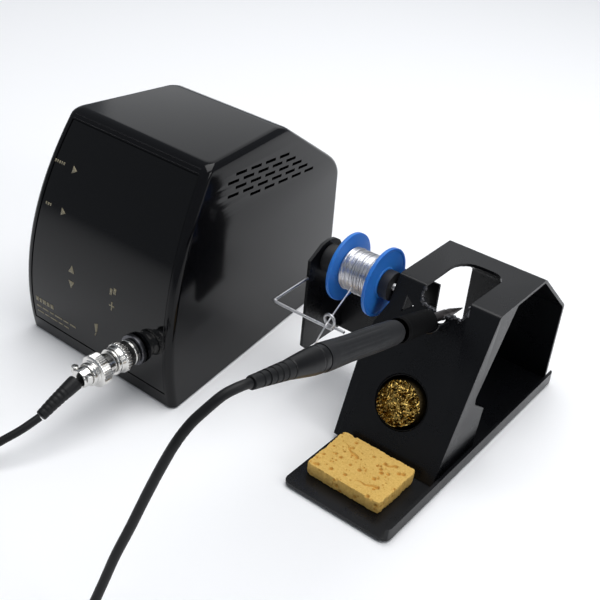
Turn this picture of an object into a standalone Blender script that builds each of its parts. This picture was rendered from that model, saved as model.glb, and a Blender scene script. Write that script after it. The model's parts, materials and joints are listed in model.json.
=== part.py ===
"""Soldering station: a mains control unit, a soldering iron on its lead, and a folded steel stand.

The control unit, the stand and everything fixed to them are placed through two parent empties.
The iron lies in the stand's holder along an axis of its own, and so do the pieces on that axis.
"""

import math

import bmesh
import bpy
from mathutils import Matrix, Vector

# Clearance left between solids that touch
GAP = 0.0003

# Puts the origin under the middle of the control unit and the stand
LAYOUT_AT = (-0.0001, 0.0010, 0.0)

# Control unit. Its own frame has its origin at the middle of the front's foot, +Y to the back.
UNIT_AT = (-0.08005, -0.0596, 0.0)
CASE_HALF_FRONT = 0.0665
CASE_HALF_BACK = 0.0410
CASE_DRAFT = 0.0030
CASE_DEPTH = 0.190
CASE_HEIGHT = 0.150
CASE_WALL = 0.0025
SKIRT_Z = 0.0010
PLATE_Z = 0.0042
ROOF_END = 0.112
ROOF_DROP = 0.051
FRONT_BOW = 2.867
FRONT_LEAN = -0.2033
RIM = 0.006

# Socket on the front and the plug in it
SOCKET_X, SOCKET_Z = 0.0375, 0.0340

# Stand. Its own frame has its origin at the front left corner of its base.
STAND_AT = (0.0757, -0.0632, 0.0)
STAND_TURN = math.radians(1.1)
SHEET = 0.0020
BASE_WIDTH, BASE_DEPTH = 0.0705, 0.200
BASE_Z = 0.0015
FLANGE_TOP = 0.0098
FRAME_WIDTH = 0.0665
SLOPE_FOOT_Y, SLOPE_HEAD_Y = 0.0527, 0.0996
FRAME_TOP = 0.0974
TOP_BACK_Y = 0.1564
BACK_Y, BACK_HEAD_Z = 0.1990, 0.0606
MIDDLE_X = 0.0325

# Iron, along its own axis: 0 at the front end of the grip, positive towards the lead
IRON_FRONT = (MIDDLE_X, 0.0461, 0.0979)
IRON_RISE = math.radians(14.86)

# Solder reel
REEL_Y, REEL_Z = 0.0980, 0.0875
REEL_RADIUS = 0.0217

# Lead
LEAD_RADIUS = 0.0024
COIL_AT = (-0.0414, -0.2446)
COIL_RADIUS = 0.0280
COIL_HALF_WIDTH = 0.0053
COIL_HEIGHT = 0.0100

for old in list(bpy.data.objects):
    bpy.data.objects.remove(old, do_unlink=True)

parts = bpy.data.collections.new("soldering_station")
cutters = bpy.data.collections.new("cutters")
bpy.context.scene.collection.children.link(parts)
bpy.context.scene.collection.children.link(cutters)


def finish(name, colour, roughness, metallic=0.0):
    """Principled material, made once for each name."""
    mat = bpy.data.materials.get(name)
    if mat is None:
        mat = bpy.data.materials.new(name)
        mat.use_nodes = True
        shader = mat.node_tree.nodes["Principled BSDF"]
        shader.inputs["Base Color"].default_value = (*colour, 1.0)
        shader.inputs["Roughness"].default_value = roughness
        shader.inputs["Metallic"].default_value = metallic
    return mat


GLOSS_BLACK = finish("gloss_black", (0.012, 0.012, 0.015), 0.12)
SATIN_BLACK = finish("satin_black_paint", (0.022, 0.023, 0.027), 0.42)
MATT_BLACK = finish("matt_black_plastic", (0.02, 0.02, 0.022), 0.6)
RUBBER_BLACK = finish("black_rubber", (0.018, 0.018, 0.019), 0.75)
NICKEL = finish("nickel", (0.72, 0.71, 0.68), 0.22, 1.0)
STEEL = finish("steel", (0.58, 0.58, 0.6), 0.35, 1.0)
BLUE = finish("blue_plastic", (0.03, 0.19, 0.62), 0.4)
SOLDER = finish("solder", (0.74, 0.74, 0.76), 0.38, 1.0)
BRASS = finish("brass_wool", (0.72, 0.5, 0.16), 0.35, 1.0)
SPONGE = finish("sponge", (0.83, 0.55, 0.2), 0.9)
GREEN = finish("circuit_board", (0.02, 0.2, 0.09), 0.5)
IRON_CORE = finish("core_laminations", (0.25, 0.25, 0.27), 0.5, 0.8)
COPPER = finish("winding_tape", (0.75, 0.55, 0.15), 0.6)


def add(name, data, mat, parent=None, at=(0, 0, 0), turn=(0, 0, 0)):
    """Place one sub-part under its parent."""
    obj = bpy.data.objects.new(name, data)
    data.materials.append(mat)
    parts.objects.link(obj)
    obj.parent = parent
    obj.location = at
    obj.rotation_euler = turn
    return obj


def frame(name, at, turn=(0, 0, 0), parent=None):
    """Empty that carries sub-parts."""
    empty = bpy.data.objects.new(name, None)
    parts.objects.link(empty)
    empty.parent = parent
    empty.location = at
    empty.rotation_euler = turn
    return empty


def closed_mesh(bm, name):
    """Mesh from a bmesh, with its faces turned outwards."""
    bmesh.ops.recalc_face_normals(bm, faces=bm.faces)
    mesh = bpy.data.meshes.new(name)
    bm.to_mesh(mesh)
    bm.free()
    return mesh


def block(size, centre=(0, 0, 0), rounding=0.0, segments=2):
    """Box, with all its edges rounded where a rounding is given."""
    bm = bmesh.new()
    bmesh.ops.create_cube(bm, size=1.0)
    bmesh.ops.scale(bm, vec=size, verts=bm.verts)
    bmesh.ops.translate(bm, vec=centre, verts=bm.verts)
    if rounding:
        bmesh.ops.bevel(bm, geom=bm.edges[:], offset=rounding, segments=segments, profile=0.5,
                        affect="EDGES")
    return closed_mesh(bm, "block")


PLANES = {
    "XY": lambda u, v, w: (u, v, w),
    "XZ": lambda u, v, w: (u, w, v),
    "YZ": lambda u, v, w: (w, u, v),
}


def prism(outline, start, end, plane="XY"):
    """Flat outline pushed from start to end along the axis that its plane leaves out."""
    place = PLANES[plane]
    bm = bmesh.new()
    face = bm.faces.new([bm.verts.new(place(u, v, start)) for u, v in outline])
    grown = bmesh.ops.extrude_face_region(bm, geom=[face])
    moved = [item for item in grown["geom"] if isinstance(item, bmesh.types.BMVert)]
    bmesh.ops.translate(bm, vec=place(0, 0, end - start), verts=moved)
    return closed_mesh(bm, "prism")


def blocks(sizes_and_centres):
    """Several separate boxes in one mesh, for a cutter."""
    bm = bmesh.new()
    for size, centre in sizes_and_centres:
        made = bmesh.ops.create_cube(bm, size=1.0)
        bmesh.ops.scale(bm, vec=size, verts=made["verts"])
        bmesh.ops.translate(bm, vec=centre, verts=made["verts"])
    return closed_mesh(bm, "blocks")


def rod(radius, start, end, axis="Z", sides=16, centre=(0, 0)):
    """Plain cylinder along an axis, for a cutter."""
    outline = [
        (centre[0] + radius * math.cos(2 * math.pi * k / sides),
         centre[1] + radius * math.sin(2 * math.pi * k / sides))
        for k in range(sides)
    ]
    return prism(outline, start, end, {"Z": "XY", "Y": "XZ", "X": "YZ"}[axis])


def rounded(corners, segments=4):
    """Outline whose corners, given as (u, v, radius), are turned into arcs."""
    points = []
    count = len(corners)
    for k, (u, v, radius) in enumerate(corners):
        here = Vector((u, v))
        if radius == 0:
            points.append((u, v))
            continue
        before = (Vector(corners[k - 1][:2]) - here).normalized()
        after = (Vector(corners[(k + 1) % count][:2]) - here).normalized()
        half = before.angle(after) / 2
        middle = here + (before + after).normalized() * radius / math.sin(half)
        first = here + before * radius / math.tan(half) - middle
        last = here + after * radius / math.tan(half) - middle
        sweep = first.angle_signed(last)
        for step in range(segments + 1):
            angle = -sweep * step / segments
            points.append((
                middle.x + first.x * math.cos(angle) - first.y * math.sin(angle),
                middle.y + first.x * math.sin(angle) + first.y * math.cos(angle),
            ))
    return points


def change(target, mesh, operation="DIFFERENCE", at=(0, 0, 0), turn=(0, 0, 0)):
    """Boolean on the target with a hidden tool under the same parent."""
    tool = bpy.data.objects.new(target.name + "_tool", mesh)
    cutters.objects.link(tool)
    tool.parent = target.parent
    tool.location = at
    tool.rotation_euler = turn
    tool.hide_render = True
    tool.display_type = "WIRE"
    boolean = target.modifiers.new("shape", "BOOLEAN")
    boolean.operation = operation
    boolean.solver = "EXACT"
    boolean.object = tool


def turned(name, profile, mat, parent=None, at=(0, 0, 0), turn=(0, 0, 0), steps=20, ring=False):
    """Solid of revolution about its own Z. Points are (radius, height), down the outer side."""
    mesh = bpy.data.meshes.new(name)
    count = len(profile)
    edges = [(k, k + 1) for k in range(count - 1)]
    if ring:
        edges.append((count - 1, 0))
    mesh.from_pydata([(radius, 0.0, height) for radius, height in profile], edges, [])
    obj = add(name, mesh, mat, parent, at, turn)
    screw = obj.modifiers.new("turn", "SCREW")
    screw.axis = "Z"
    screw.angle = 2 * math.pi
    screw.steps = steps
    screw.render_steps = steps
    screw.use_merge_vertices = True
    screw.merge_threshold = 0.00001
    return obj


def sheet(points, start, end, plane="YZ"):
    """Bent sheet: an open outline pushed along the axis that its plane leaves out."""
    place = PLANES[plane]
    bm = bmesh.new()
    rows = [[bm.verts.new(place(u, v, w)) for u, v in points] for w in (start, end)]
    for k in range(len(points) - 1):
        bm.faces.new((rows[0][k], rows[0][k + 1], rows[1][k + 1], rows[1][k]))
    mesh = bpy.data.meshes.new("sheet")
    bm.to_mesh(mesh)
    bm.free()
    return mesh


def thicken(obj, thickness, offset=-1.0):
    """Give an open surface its wall."""
    wall = obj.modifiers.new("wall", "SOLIDIFY")
    wall.thickness = thickness
    wall.offset = offset
    wall.use_even_offset = True


def tube(name, points, radius, mat, parent=None, scales=None, resolution=2):
    """Round bar or lead through its points. The scales shrink or widen it along the way."""
    curve = bpy.data.curves.new(name, "CURVE")
    curve.dimensions = "3D"
    curve.bevel_depth = radius
    curve.bevel_resolution = resolution
    curve.use_fill_caps = True
    spline = curve.splines.new("POLY")
    spline.points.add(len(points) - 1)
    for k, point in enumerate(points):
        spline.points[k].co = (*point, 1.0)
        spline.points[k].radius = scales[k] if scales else 1.0
    return add(name, curve, mat, parent)


def smooth_route(route, spacing):
    """Evenly spaced points on the Catmull-Rom curve through the route's own points."""
    knots = [Vector(p) for p in route]
    knots = [2 * knots[0] - knots[1], *knots, 2 * knots[-1] - knots[-2]]
    fine = []
    for a, b, c, d in zip(knots, knots[1:], knots[2:], knots[3:]):
        for step in range(24):
            t = step / 24
            fine.append(0.5 * (2 * b + (c - a) * t + (2 * a - 5 * b + 4 * c - d) * t * t
                               + (3 * b - a - 3 * c + d) * t ** 3))
    fine.append(knots[-2])
    lengths = [0.0]
    for p, q in zip(fine, fine[1:]):
        lengths.append(lengths[-1] + (q - p).length)
    count = max(2, round(lengths[-1] / spacing))
    points = []
    k = 0
    for step in range(count + 1):
        goal = lengths[-1] * step / count
        while k < len(lengths) - 2 and lengths[k + 1] < goal:
            k += 1
        part = (goal - lengths[k]) / max(lengths[k + 1] - lengths[k], 1e-9)
        points.append(fine[k].lerp(fine[k + 1], min(part, 1.0)))
    return points


# ---------------------------------------------------------------- control unit

layout = frame("layout", LAYOUT_AT)
unit = frame("control_unit", UNIT_AT, parent=layout)


def front_y(z):
    """How far back the bowed front lies at a height."""
    return FRONT_BOW * z * z + FRONT_LEAN * z


def half_width(y, z):
    """Half the case's width: it narrows to the back, and a little to the top."""
    return (CASE_HALF_FRONT - (CASE_HALF_FRONT - CASE_HALF_BACK) * y / CASE_DEPTH
            - CASE_DRAFT * z / CASE_HEIGHT)


def bow(low, high, steps, shift=0.0):
    """Points (y, z) up the bowed front."""
    heights = [low + (high - low) * k / steps for k in range(steps + 1)]
    return [(front_y(z) + shift, z) for z in heights]


def upper_shell():
    """Moulded case, open below, with openings for the front panel, the back panel and the vents."""
    back = rounded([(ROOF_END, CASE_HEIGHT, 0.012),
                    (CASE_DEPTH, CASE_HEIGHT - ROOF_DROP, 0.014),
                    (CASE_DEPTH, SKIRT_Z, 0),
                    (front_y(CASE_HEIGHT), CASE_HEIGHT, 0)], segments=3)[:-2]
    section = bow(SKIRT_Z, CASE_HEIGHT, 7) + back + [(CASE_DEPTH, SKIRT_Z)]
    bm = bmesh.new()
    left, right = (
        [bm.verts.new((side * half_width(y, z), y, z)) for y, z in section] for side in (-1, 1)
    )
    sides = [bm.faces.new(left), bm.faces.new(right)]
    for k in range(len(section) - 1):
        bm.faces.new((left[k], left[k + 1], right[k + 1], right[k]))
    bmesh.ops.recalc_face_normals(bm, faces=bm.faces)
    rims = [edge for face in sides for edge in face.edges
            if len(edge.link_faces) == 2]
    bmesh.ops.bevel(bm, geom=rims, offset=0.0045, segments=3, profile=0.5, affect="EDGES")
    mesh = bpy.data.meshes.new("upper_shell")
    bm.to_mesh(mesh)
    bm.free()
    shell = add("upper_shell", mesh, GLOSS_BLACK, unit)
    thicken(shell, CASE_WALL)
    change(shell, panel_solid(RIM, -0.012, 0.0065))
    change(shell, block((0.0620, 0.020, 0.078), (0, CASE_DEPTH, 0.050)))
    vent_slots(shell)


def vent_slots(shell):
    """Five staggered rows of slots high on each side wall, falling a little to the back."""
    length, height, pitch, fall = 0.0114, 0.0018, 0.0160, 0.119
    first_y, first_z, row_drop = 0.0590, 0.1366, 0.0043
    bm = bmesh.new()
    for row, (start, count) in enumerate(((0, 4), (-0.5, 5), (0, 5), (-0.5, 6), (1, 5))):
        for k in range(count):
            along = (start + k) * pitch + length / 2
            y, z = first_y + along, first_z - row * row_drop - along * fall
            for side in (-1, 1):
                made = bmesh.ops.create_cube(bm, size=1.0)["verts"]
                bmesh.ops.scale(bm, vec=(0.016, length, height), verts=made)
                bmesh.ops.rotate(bm, matrix=Matrix.Rotation(-math.atan(fall), 3, "X"), verts=made)
                bmesh.ops.translate(bm, vec=(side * half_width(y, z), y, z), verts=made)
    change(shell, closed_mesh(bm, "vents"))


def panel_solid(inset, front, back):
    """Solid between two copies of the bow, inset from the case's sides, top and foot."""
    line = bow(PLATE_Z + inset, CASE_HEIGHT - inset, 8)
    bm = bmesh.new()
    loops = []
    for shift in (front, back):
        loops.append([
            [bm.verts.new((side * (half_width(front_y(z), z) - inset), y + shift, z))
             for y, z in line] for side in (-1, 1)
        ])
    (fl, fr), (bl, br) = loops
    for k in range(len(line) - 1):
        for a, b in ((fl, fr), (bl, br), (fl, bl), (fr, br)):
            bm.faces.new((a[k], a[k + 1], b[k + 1], b[k]))
    for k in (0, -1):
        bm.faces.new((fl[k], fr[k], br[k], bl[k]))
    return closed_mesh(bm, "panel_solid")


def front_panel():
    """Glossy bowed front, set in the case's rim, with a hole for the socket."""
    panel = add("front_panel", panel_solid(RIM + 0.0004, 0.0004, 0.0029), GLOSS_BLACK, unit)
    change(panel, rod(0.0075, -0.02, 0.02, "Y", 20, (SOCKET_X, SOCKET_Z)))


def base_plate():
    """Flat closing plate inside the foot of the case."""
    inner = CASE_WALL + 0.0008
    front_edge, back_edge = front_y(PLATE_Z) + inner, CASE_DEPTH - inner
    corners = [(side * (half_width(y, 0) - inner), y, 0.005)
               for side, y in ((-1, front_edge), (1, front_edge), (1, back_edge), (-1, back_edge))]
    plate = add("base_plate", prism(rounded(corners, 2), PLATE_Z + GAP, PLATE_Z + GAP + 0.002),
                SATIN_BLACK, unit)
    for x, y in BASE_SCREWS:
        change(plate, rod(0.0018, 0, 0.02, "Z", 10, (x, y)))


BASE_SCREWS = [(-0.034, 0.034), (0.034, 0.034), (-0.026, 0.160), (0.026, 0.160)]


def base_screw(k, x, y):
    """Pan-head screw up through the base plate."""
    turned(f"base_screw_{k}", [(0, 0.012), (0.0014, 0.012), (0.0014, 0.0042), (0.0028, 0.0042),
                               (0.0026, 0.0026), (0, 0.0024)], STEEL, unit, (x, y, 0), steps=10)


def feet():
    """Four rubber feet under the base plate."""
    for k, (x, y) in enumerate([(-0.052, 0.016), (0.052, 0.016), (-0.031, 0.176), (0.031, 0.176)], 1):
        turned(f"foot_{k}", [(0, PLATE_Z), (0.0062, PLATE_Z), (0.0056, 0), (0, 0)],
               RUBBER_BLACK, unit, (x, y, 0), steps=14)


def back_panel():
    """Plate in the back opening that holds the mains inlet, the rocker and the fuse."""
    panel = add("back_panel", block((0.0612, 0.0015, 0.0772), (0, CASE_DEPTH - 0.0018, 0.050)),
                SATIN_BLACK, unit)
    change(panel, block((0.0276, 0.02, 0.0200), (0, CASE_DEPTH, INLET_Z)))
    change(panel, block((0.0196, 0.02, 0.0136), (ROCKER_X, CASE_DEPTH, ROCKER_Z)))
    change(panel, rod(0.0052, 0.18, 0.20, "Y", 14, (FUSE_X, ROCKER_Z)))


INLET_Z, ROCKER_Z = 0.032, 0.066
ROCKER_X, FUSE_X = -0.012, 0.016
PANEL_BACK = CASE_DEPTH - 0.00105 + GAP


def mains_inlet():
    """Three-pin mains inlet: flange, body, recess and pins."""
    inlet = add("mains_inlet", block((0.0310, 0.0022, 0.0240), (0, PANEL_BACK + 0.0011, INLET_Z)),
                MATT_BLACK, unit)
    change(inlet, block((0.0270, 0.0185, 0.0194), (0, PANEL_BACK - 0.0086, INLET_Z)), "UNION")
    change(inlet, block((0.0240, 0.0200, 0.0164), (0, PANEL_BACK - 0.0050, INLET_Z)))
    pins = [((0.0020, 0.0130, 0.0040), (side * 0.0070, PANEL_BACK - 0.0097, INLET_Z - 0.0035))
            for side in (-1, 1)]
    pins.append(((0.0020, 0.0130, 0.0040), (0, PANEL_BACK - 0.0097, INLET_Z + 0.0040)))
    change(inlet, blocks(pins), "UNION")


def rocker_switch():
    """Mains rocker and its frame. The rocker stands tipped to off."""
    bezel = add("rocker_frame", block((0.0220, 0.0018, 0.0160), (ROCKER_X, PANEL_BACK + 0.0009, ROCKER_Z)),
                MATT_BLACK, unit)
    change(bezel, block((0.0190, 0.0140, 0.0130), (ROCKER_X, PANEL_BACK - 0.0065, ROCKER_Z)), "UNION")
    change(bezel, block((0.0150, 0.0130, 0.0104), (ROCKER_X, PANEL_BACK - 0.0030, ROCKER_Z)))
    ridge = [(-0.0040, -0.0045), (0.0016, -0.0045), (0.0006, 0.0), (0.0016, 0.0045), (-0.0040, 0.0045)]
    add("rocker", prism(ridge, -0.0070, 0.0070, "YZ"), MATT_BLACK, unit,
        (ROCKER_X, PANEL_BACK + 0.0012, ROCKER_Z), (math.radians(8), 0, 0))


def fuse_cap():
    """Fuse carrier that pulls out of the back panel."""
    turned("fuse_cap", [(0, 0.0060), (0.0052, 0.0060), (0.0060, 0.0050), (0.0060, 0), (0.0044, 0),
                        (0.0044, -0.0180), (0, -0.0180)], MATT_BLACK, unit,
           (FUSE_X, PANEL_BACK, ROCKER_Z), (-math.pi / 2, 0, 0), steps=14)


def boards():
    """Display, touch board and control board."""
    add("display_module", block((0.078, 0.0040, 0.034)), MATT_BLACK, unit,
        (0, front_y(0.110) + 0.0100, 0.110), (-math.atan(2 * FRONT_BOW * 0.110 + FRONT_LEAN), 0, 0))
    add("touch_board", block((0.066, 0.0016, 0.054), (-0.0180, 0.0072, 0.046)), GREEN, unit)
    add("control_board", block((0.076, 0.050, 0.0016), (0, 0.060, 0.0160)), GREEN, unit)
    turned("filter_capacitor", [(0, 0.042), (0.0088, 0.042), (0.0090, 0.0171), (0, 0.0171)],
           MATT_BLACK, unit, (-0.020, 0.066, 0), steps=14)


def transformer():
    """Laminated core with two windows, the winding round its middle limb, and two bolts."""
    y, low, high = 0.135, 0.0068, 0.0548
    core = add("transformer_core", block((0.057, 0.022, high - low), (0, y, (low + high) / 2)),
               IRON_CORE, unit)
    change(core, blocks([((0.0095, 0.04, 0.028), (side * 0.01425, y, (low + high) / 2))
                         for side in (-1, 1)]))
    coil = add("transformer_winding", block((0.0366, 0.040, 0.0266), (0, y, (low + high) / 2), 0.003, 1),
               COPPER, unit)
    change(coil, block((0.0198, 0.0228, 0.05), (0, y, (low + high) / 2)))
    for k, side in enumerate((-1, 1), 1):
        change(core, rod(0.0020, low - 0.01, high + 0.01, "Z", 10, (side * 0.0238, y)))
        turned(f"transformer_bolt_{k}", [(0, 0.0590), (0.0030, 0.0590), (0.0032, high + GAP),
                                         (0.0016, high + GAP), (0.0016, 0.0070), (0, 0.0070)],
               STEEL, unit, (side * 0.0238, y, 0), steps=10)


# ---------------------------------------------------------------- socket, plug and lead

plug_axis = frame("plug_axis", (SOCKET_X, front_y(SOCKET_Z), SOCKET_Z), (math.pi / 2, 0, 0), unit)
PANEL_INNER = -0.0034


def socket_and_plug():
    """Panel socket with its nut, and the plug's body, locking ring, clamp and boot."""
    turned("front_socket", [(0.0056, 0.0100), (0.0060, 0.0030), (0.0098, 0.0030), (0.0100, 0.0004),
                            (0.0070, 0.0004), (0.0070, -0.0120), (0.0056, -0.0120)],
           NICKEL, plug_axis, steps=24, ring=True)
    nut = turned("socket_nut", [(0, PANEL_INNER), (0.0105, PANEL_INNER), (0.0105, -0.0062),
                                (0, -0.0062)], STEEL, plug_axis, steps=6)
    change(nut, rod(0.0073, -0.02, 0.0, "Z", 24))
    turned("plug_locking_ring", [(0.0084, 0.0205), (0.0086, 0.0150), (0.0094, 0.0140),
                                 (0.0094, 0.0118), (0.0084, 0.0108), (0.0082, 0.0040),
                                 (0.0064, 0.0040), (0.0064, 0.0205)], NICKEL, plug_axis,
           steps=24, ring=True)
    turned("plug_body", [(0, 0.0384), (0.0072, 0.0384), (0.0074, 0.0345), (0.0100, 0.0335),
                         (0.0100, 0.0275), (0.0068, 0.0265), (0.0068, 0.0208), (0.0060, 0.0208),
                         (0.0060, 0.0104), (0, 0.0104)], NICKEL, plug_axis, steps=24)
    clamp = turned("plug_clamp", [(0, 0.0445), (0.0054, 0.0445), (0.0062, 0.0387), (0, 0.0387)],
                   NICKEL, plug_axis, steps=16)
    change(clamp, block((0.0170, 0.0044, 0.0044), (0, 0.0028, 0.0417), 0.0006, 1), "UNION")


# Route of the lead from the plug to its coil, and from the coil up to the iron
BOOT_ROUTE = [(-0.0425, -0.1096, 0.0336), (-0.0425, -0.1130, 0.0325), (-0.0425, -0.1240, 0.0284),
              (-0.0427, -0.1353, 0.0232)]
PLUG_ROUTE = [(-0.0428, -0.1359, 0.0227), (-0.0453, -0.1470, 0.0186), (-0.0494, -0.1583, 0.0145),
              (-0.0537, -0.1690, 0.0102), (-0.0590, -0.1800, 0.0062), (-0.0640, -0.1920, 0.0036),
              (-0.0690, -0.2050, 0.0027), (-0.0735, -0.2200, 0.0027), (-0.0765, -0.2330, 0.0027),
              (-0.0775, -0.2446, 0.0027)]
IRON_ROUTE = [(0.1097, -0.1399, 0.1307), (0.1095, -0.1450, 0.1319), (0.1069, -0.1532, 0.1302),
              (0.1036, -0.1612, 0.1243), (0.1011, -0.1669, 0.1190),
              (0.0981, -0.1725, 0.1100), (0.0946, -0.1777, 0.0969), (0.0906, -0.1826, 0.0812),
              (0.0866, -0.1878, 0.0642), (0.0826, -0.1933, 0.0478), (0.0790, -0.1985, 0.0300),
              (0.0760, -0.2040, 0.0150), (0.0725, -0.2110, 0.0058), (0.0670, -0.2200, 0.0028),
              (0.0580, -0.2330, 0.0027), (0.0440, -0.2480, 0.0027), (0.0250, -0.2620, 0.0027),
              (0.0040, -0.2730, 0.0027), (-0.0170, -0.2790, 0.0027), (-0.0340, -0.2807, 0.0027),
              (-0.0414, -0.2807, 0.0027)]


def lead():
    """The plug's boot, the lead to its coil, the coil's outer shape, and the lead to the iron."""
    boot = smooth_route(BOOT_ROUTE, 0.0030)
    scales = [1.0 - 0.3 * k / (len(boot) - 1) for k in range(len(boot))]
    tube("plug_boot", boot, 0.0048, RUBBER_BLACK, layout, scales, resolution=3)
    tube("lead_plug_side", smooth_route(PLUG_ROUTE, 0.0060), LEAD_RADIUS, RUBBER_BLACK, layout)
    low, high = 0.0003, 0.0003 + COIL_HEIGHT
    inner, outer = COIL_RADIUS - COIL_HALF_WIDTH, COIL_RADIUS + COIL_HALF_WIDTH
    turned("lead_coil", [(outer - 0.001, high), (outer, high - 0.001), (outer, low + 0.001),
                         (outer - 0.001, low), (inner, low), (inner, high)],
           RUBBER_BLACK, layout, (*COIL_AT, 0), steps=28, ring=True)
    tube("lead_iron_side", smooth_route(IRON_ROUTE, 0.0085), LEAD_RADIUS, RUBBER_BLACK, layout)


# ---------------------------------------------------------------- stand

stand = frame("stand", STAND_AT, (0, 0, STAND_TURN), layout)
SLOPE = Vector((SLOPE_HEAD_Y - SLOPE_FOOT_Y, FRAME_TOP - BASE_Z - SHEET)).normalized()


def slope_point(z):
    """Depth of the slope's outer face at a height."""
    return SLOPE_FOOT_Y + (z - BASE_Z - SHEET) * SLOPE.x / SLOPE.y


def stand_base():
    """Steel tray that carries the stand, with an upturned flange on its right."""
    top = BASE_Z + SHEET
    outline = [(0, top), (BASE_WIDTH - SHEET, top), (BASE_WIDTH - SHEET, FLANGE_TOP)]
    base = add("stand_base", sheet(outline, 0, BASE_DEPTH, "XZ"), SATIN_BLACK, stand)
    thicken(base, SHEET)
    corners = rounded([(-0.0001, 0, 0.005), (-0.0001, BASE_DEPTH, 0.004),
                       (BASE_WIDTH + 0.0001, BASE_DEPTH, 0.004), (BASE_WIDTH + 0.0001, 0, 0.005)], 3)
    change(base, prism(corners, -0.01, 0.03), "INTERSECT")


def stand_pads():
    """Four thin rubber pads under the stand's base."""
    for k, (x, y) in enumerate([(0.010, 0.012), (0.060, 0.012), (0.010, 0.188), (0.060, 0.188)], 1):
        turned(f"stand_pad_{k}", [(0, BASE_Z - GAP), (0.0050, BASE_Z - GAP), (0.0050, 0), (0, 0)],
               RUBBER_BLACK, stand, (x, y, 0), steps=12)


def stand_frame():
    """Folded steel bridge: slope, top, back and two side ribs, with its cut-outs."""
    foot = BASE_Z + SHEET + GAP
    fold = rounded([(slope_point(foot - 0.004), foot - 0.004, 0), (SLOPE_HEAD_Y, FRAME_TOP, 0.003),
                    (TOP_BACK_Y, FRAME_TOP, 0.004), (BACK_Y, BACK_HEAD_Z, 0.004),
                    (BACK_Y - 0.0005, foot - 0.004, 0)], 3)
    bridge = add("stand_frame", sheet(fold, 0, FRAME_WIDTH), SATIN_BLACK, stand)
    thicken(bridge, SHEET, offset=1.0)
    half = SHEET / 2
    rib = [(slope_point(foot) + half, foot + 0.0002), (slope_point(0.0955) + half, 0.0958),
           (0.1216, 0.0958), (0.0890, 0.0466), (0.0895, 0.0420), (0.1032, 0.0320),
           (0.0993, 0.0092), (0.0993, foot + 0.0002)]
    for x in (0.0001, FRAME_WIDTH - 0.0001 - SHEET):
        change(bridge, prism(rib, x, x + SHEET, "YZ"), "UNION")
    wing = [(0.0005, 0.0820), (-0.0050, 0.0680), (-0.0057, 0.0440), (-0.0028, foot), (0.0005, foot)]
    climb = 1 / SLOPE.y
    change(bridge, prism([(x, (z - foot) * climb) for x, z in wing], 0.0001 - SHEET, -0.0001), "UNION",
           (0, slope_point(foot), foot), WOOL_TURN)
    change(bridge, block((0.2, 0.4, 0.2), (0.03, 0.1, foot + 0.1)), "INTERSECT")
    window = rounded([(NOTCH_LEFT, 0.094, 0), (NOTCH_LEFT, 0.1410, 0.013),
                      (NOTCH_RIGHT + 0.001, 0.1410, 0.009), (NOTCH_RIGHT, 0.094, 0)], 5)
    change(bridge, prism(window, 0.090, 0.110))
    dip = [(MIDDLE_X - 0.0042, NOTCH_Z)]
    dip += [(MIDDLE_X - 0.0042 * math.cos(math.pi * k / 6), 0.0848 - 0.0042 * math.sin(math.pi * k / 6))
            for k in range(7)]
    dip += [(MIDDLE_X + 0.0042, NOTCH_Z)]
    notch = [(NOTCH_LEFT, 0.106), (NOTCH_LEFT, NOTCH_Z + 0.004), (NOTCH_LEFT + 0.004, NOTCH_Z), *dip,
             (NOTCH_RIGHT - 0.003, NOTCH_Z), (NOTCH_RIGHT, NOTCH_Z + 0.003), (NOTCH_RIGHT, 0.106)]
    change(bridge, prism(notch, 0.080, 0.106, "XZ"))
    change(bridge, prism([(0.0090, 0.0790), (0.0155, 0.0842), (0.0090, 0.0880)], 0.08, 0.11, "XZ"))
    change(bridge, rod(WOOL_RADIUS, -0.010, 0.010, "Z", 28), at=WOOL_AT, turn=WOOL_TURN)
    change(bridge, rod(0.0018, -0.0005, 0.005, "X", 10, TAB_SCREW))


NOTCH_LEFT, NOTCH_RIGHT, NOTCH_Z = 0.0178, 0.0474, 0.0872
TAB_SCREW = (0.0845, 0.0430)
WOOL_RADIUS = 0.0170
WOOL_AT = (MIDDLE_X - 0.0022, slope_point(0.0358), 0.0358)
WOOL_TURN = (math.atan2(SLOPE.y, SLOPE.x), 0, 0)


def wool_and_sponge():
    """Cup behind the slope with its brass wool, and the sponge on the tray."""
    rim = -SHEET - GAP
    turned("wool_cup", [(0, -0.0200), (0.0152, -0.0200), (0.0160, -0.0004), (0.0166, -0.0004),
                        (0.0166, rim), (0.0196, rim), (0.0196, rim - 0.001), (0.0166, rim - 0.001),
                        (0.0160, -0.0210), (0, -0.0210)],
           SATIN_BLACK, stand, WOOL_AT, WOOL_TURN, steps=28)
    turned("brass_wool", [(0, 0.0060), (0.0070, 0.0050), (0.0120, 0.0022), (0.0148, -0.0030),
                          (0.0146, -0.0150), (0.0100, -0.0192), (0, -0.0196)],
           BRASS, stand, WOOL_AT, WOOL_TURN, steps=20)
    low = BASE_Z + SHEET + GAP
    add("sponge", block((0.0510, 0.0380, 0.0080), (0, 0, 0.0040), 0.0012, 1), SPONGE, stand,
        (0.0312, 0.0322, low))


iron_axis = frame("iron_axis", IRON_FRONT, (math.pi / 2 - IRON_RISE, 0, 0), stand)


def iron_holder():
    """Funnel that takes the front of the iron, and the half-round cradle that carries it."""
    turned("iron_holder", [(0.0070, -0.0010), (0.0074, -0.0026), (0.0070, -0.0050), (0.0064, -0.0340),
                           (0.0056, -0.0340), (0.0062, -0.0030), (0.0064, -0.0010)],
           MATT_BLACK, iron_axis, steps=20, ring=True)
    cradle = turned("holder_cradle", [(0.0080, -0.0343), (0.0080, -0.0475), (0.0066, -0.0475),
                                      (0.0066, -0.0343)], SATIN_BLACK, iron_axis, steps=24, ring=True)
    change(cradle, block((0.03, 0.02, 0.04), (0, 0.0100, -0.0400)))


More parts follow.
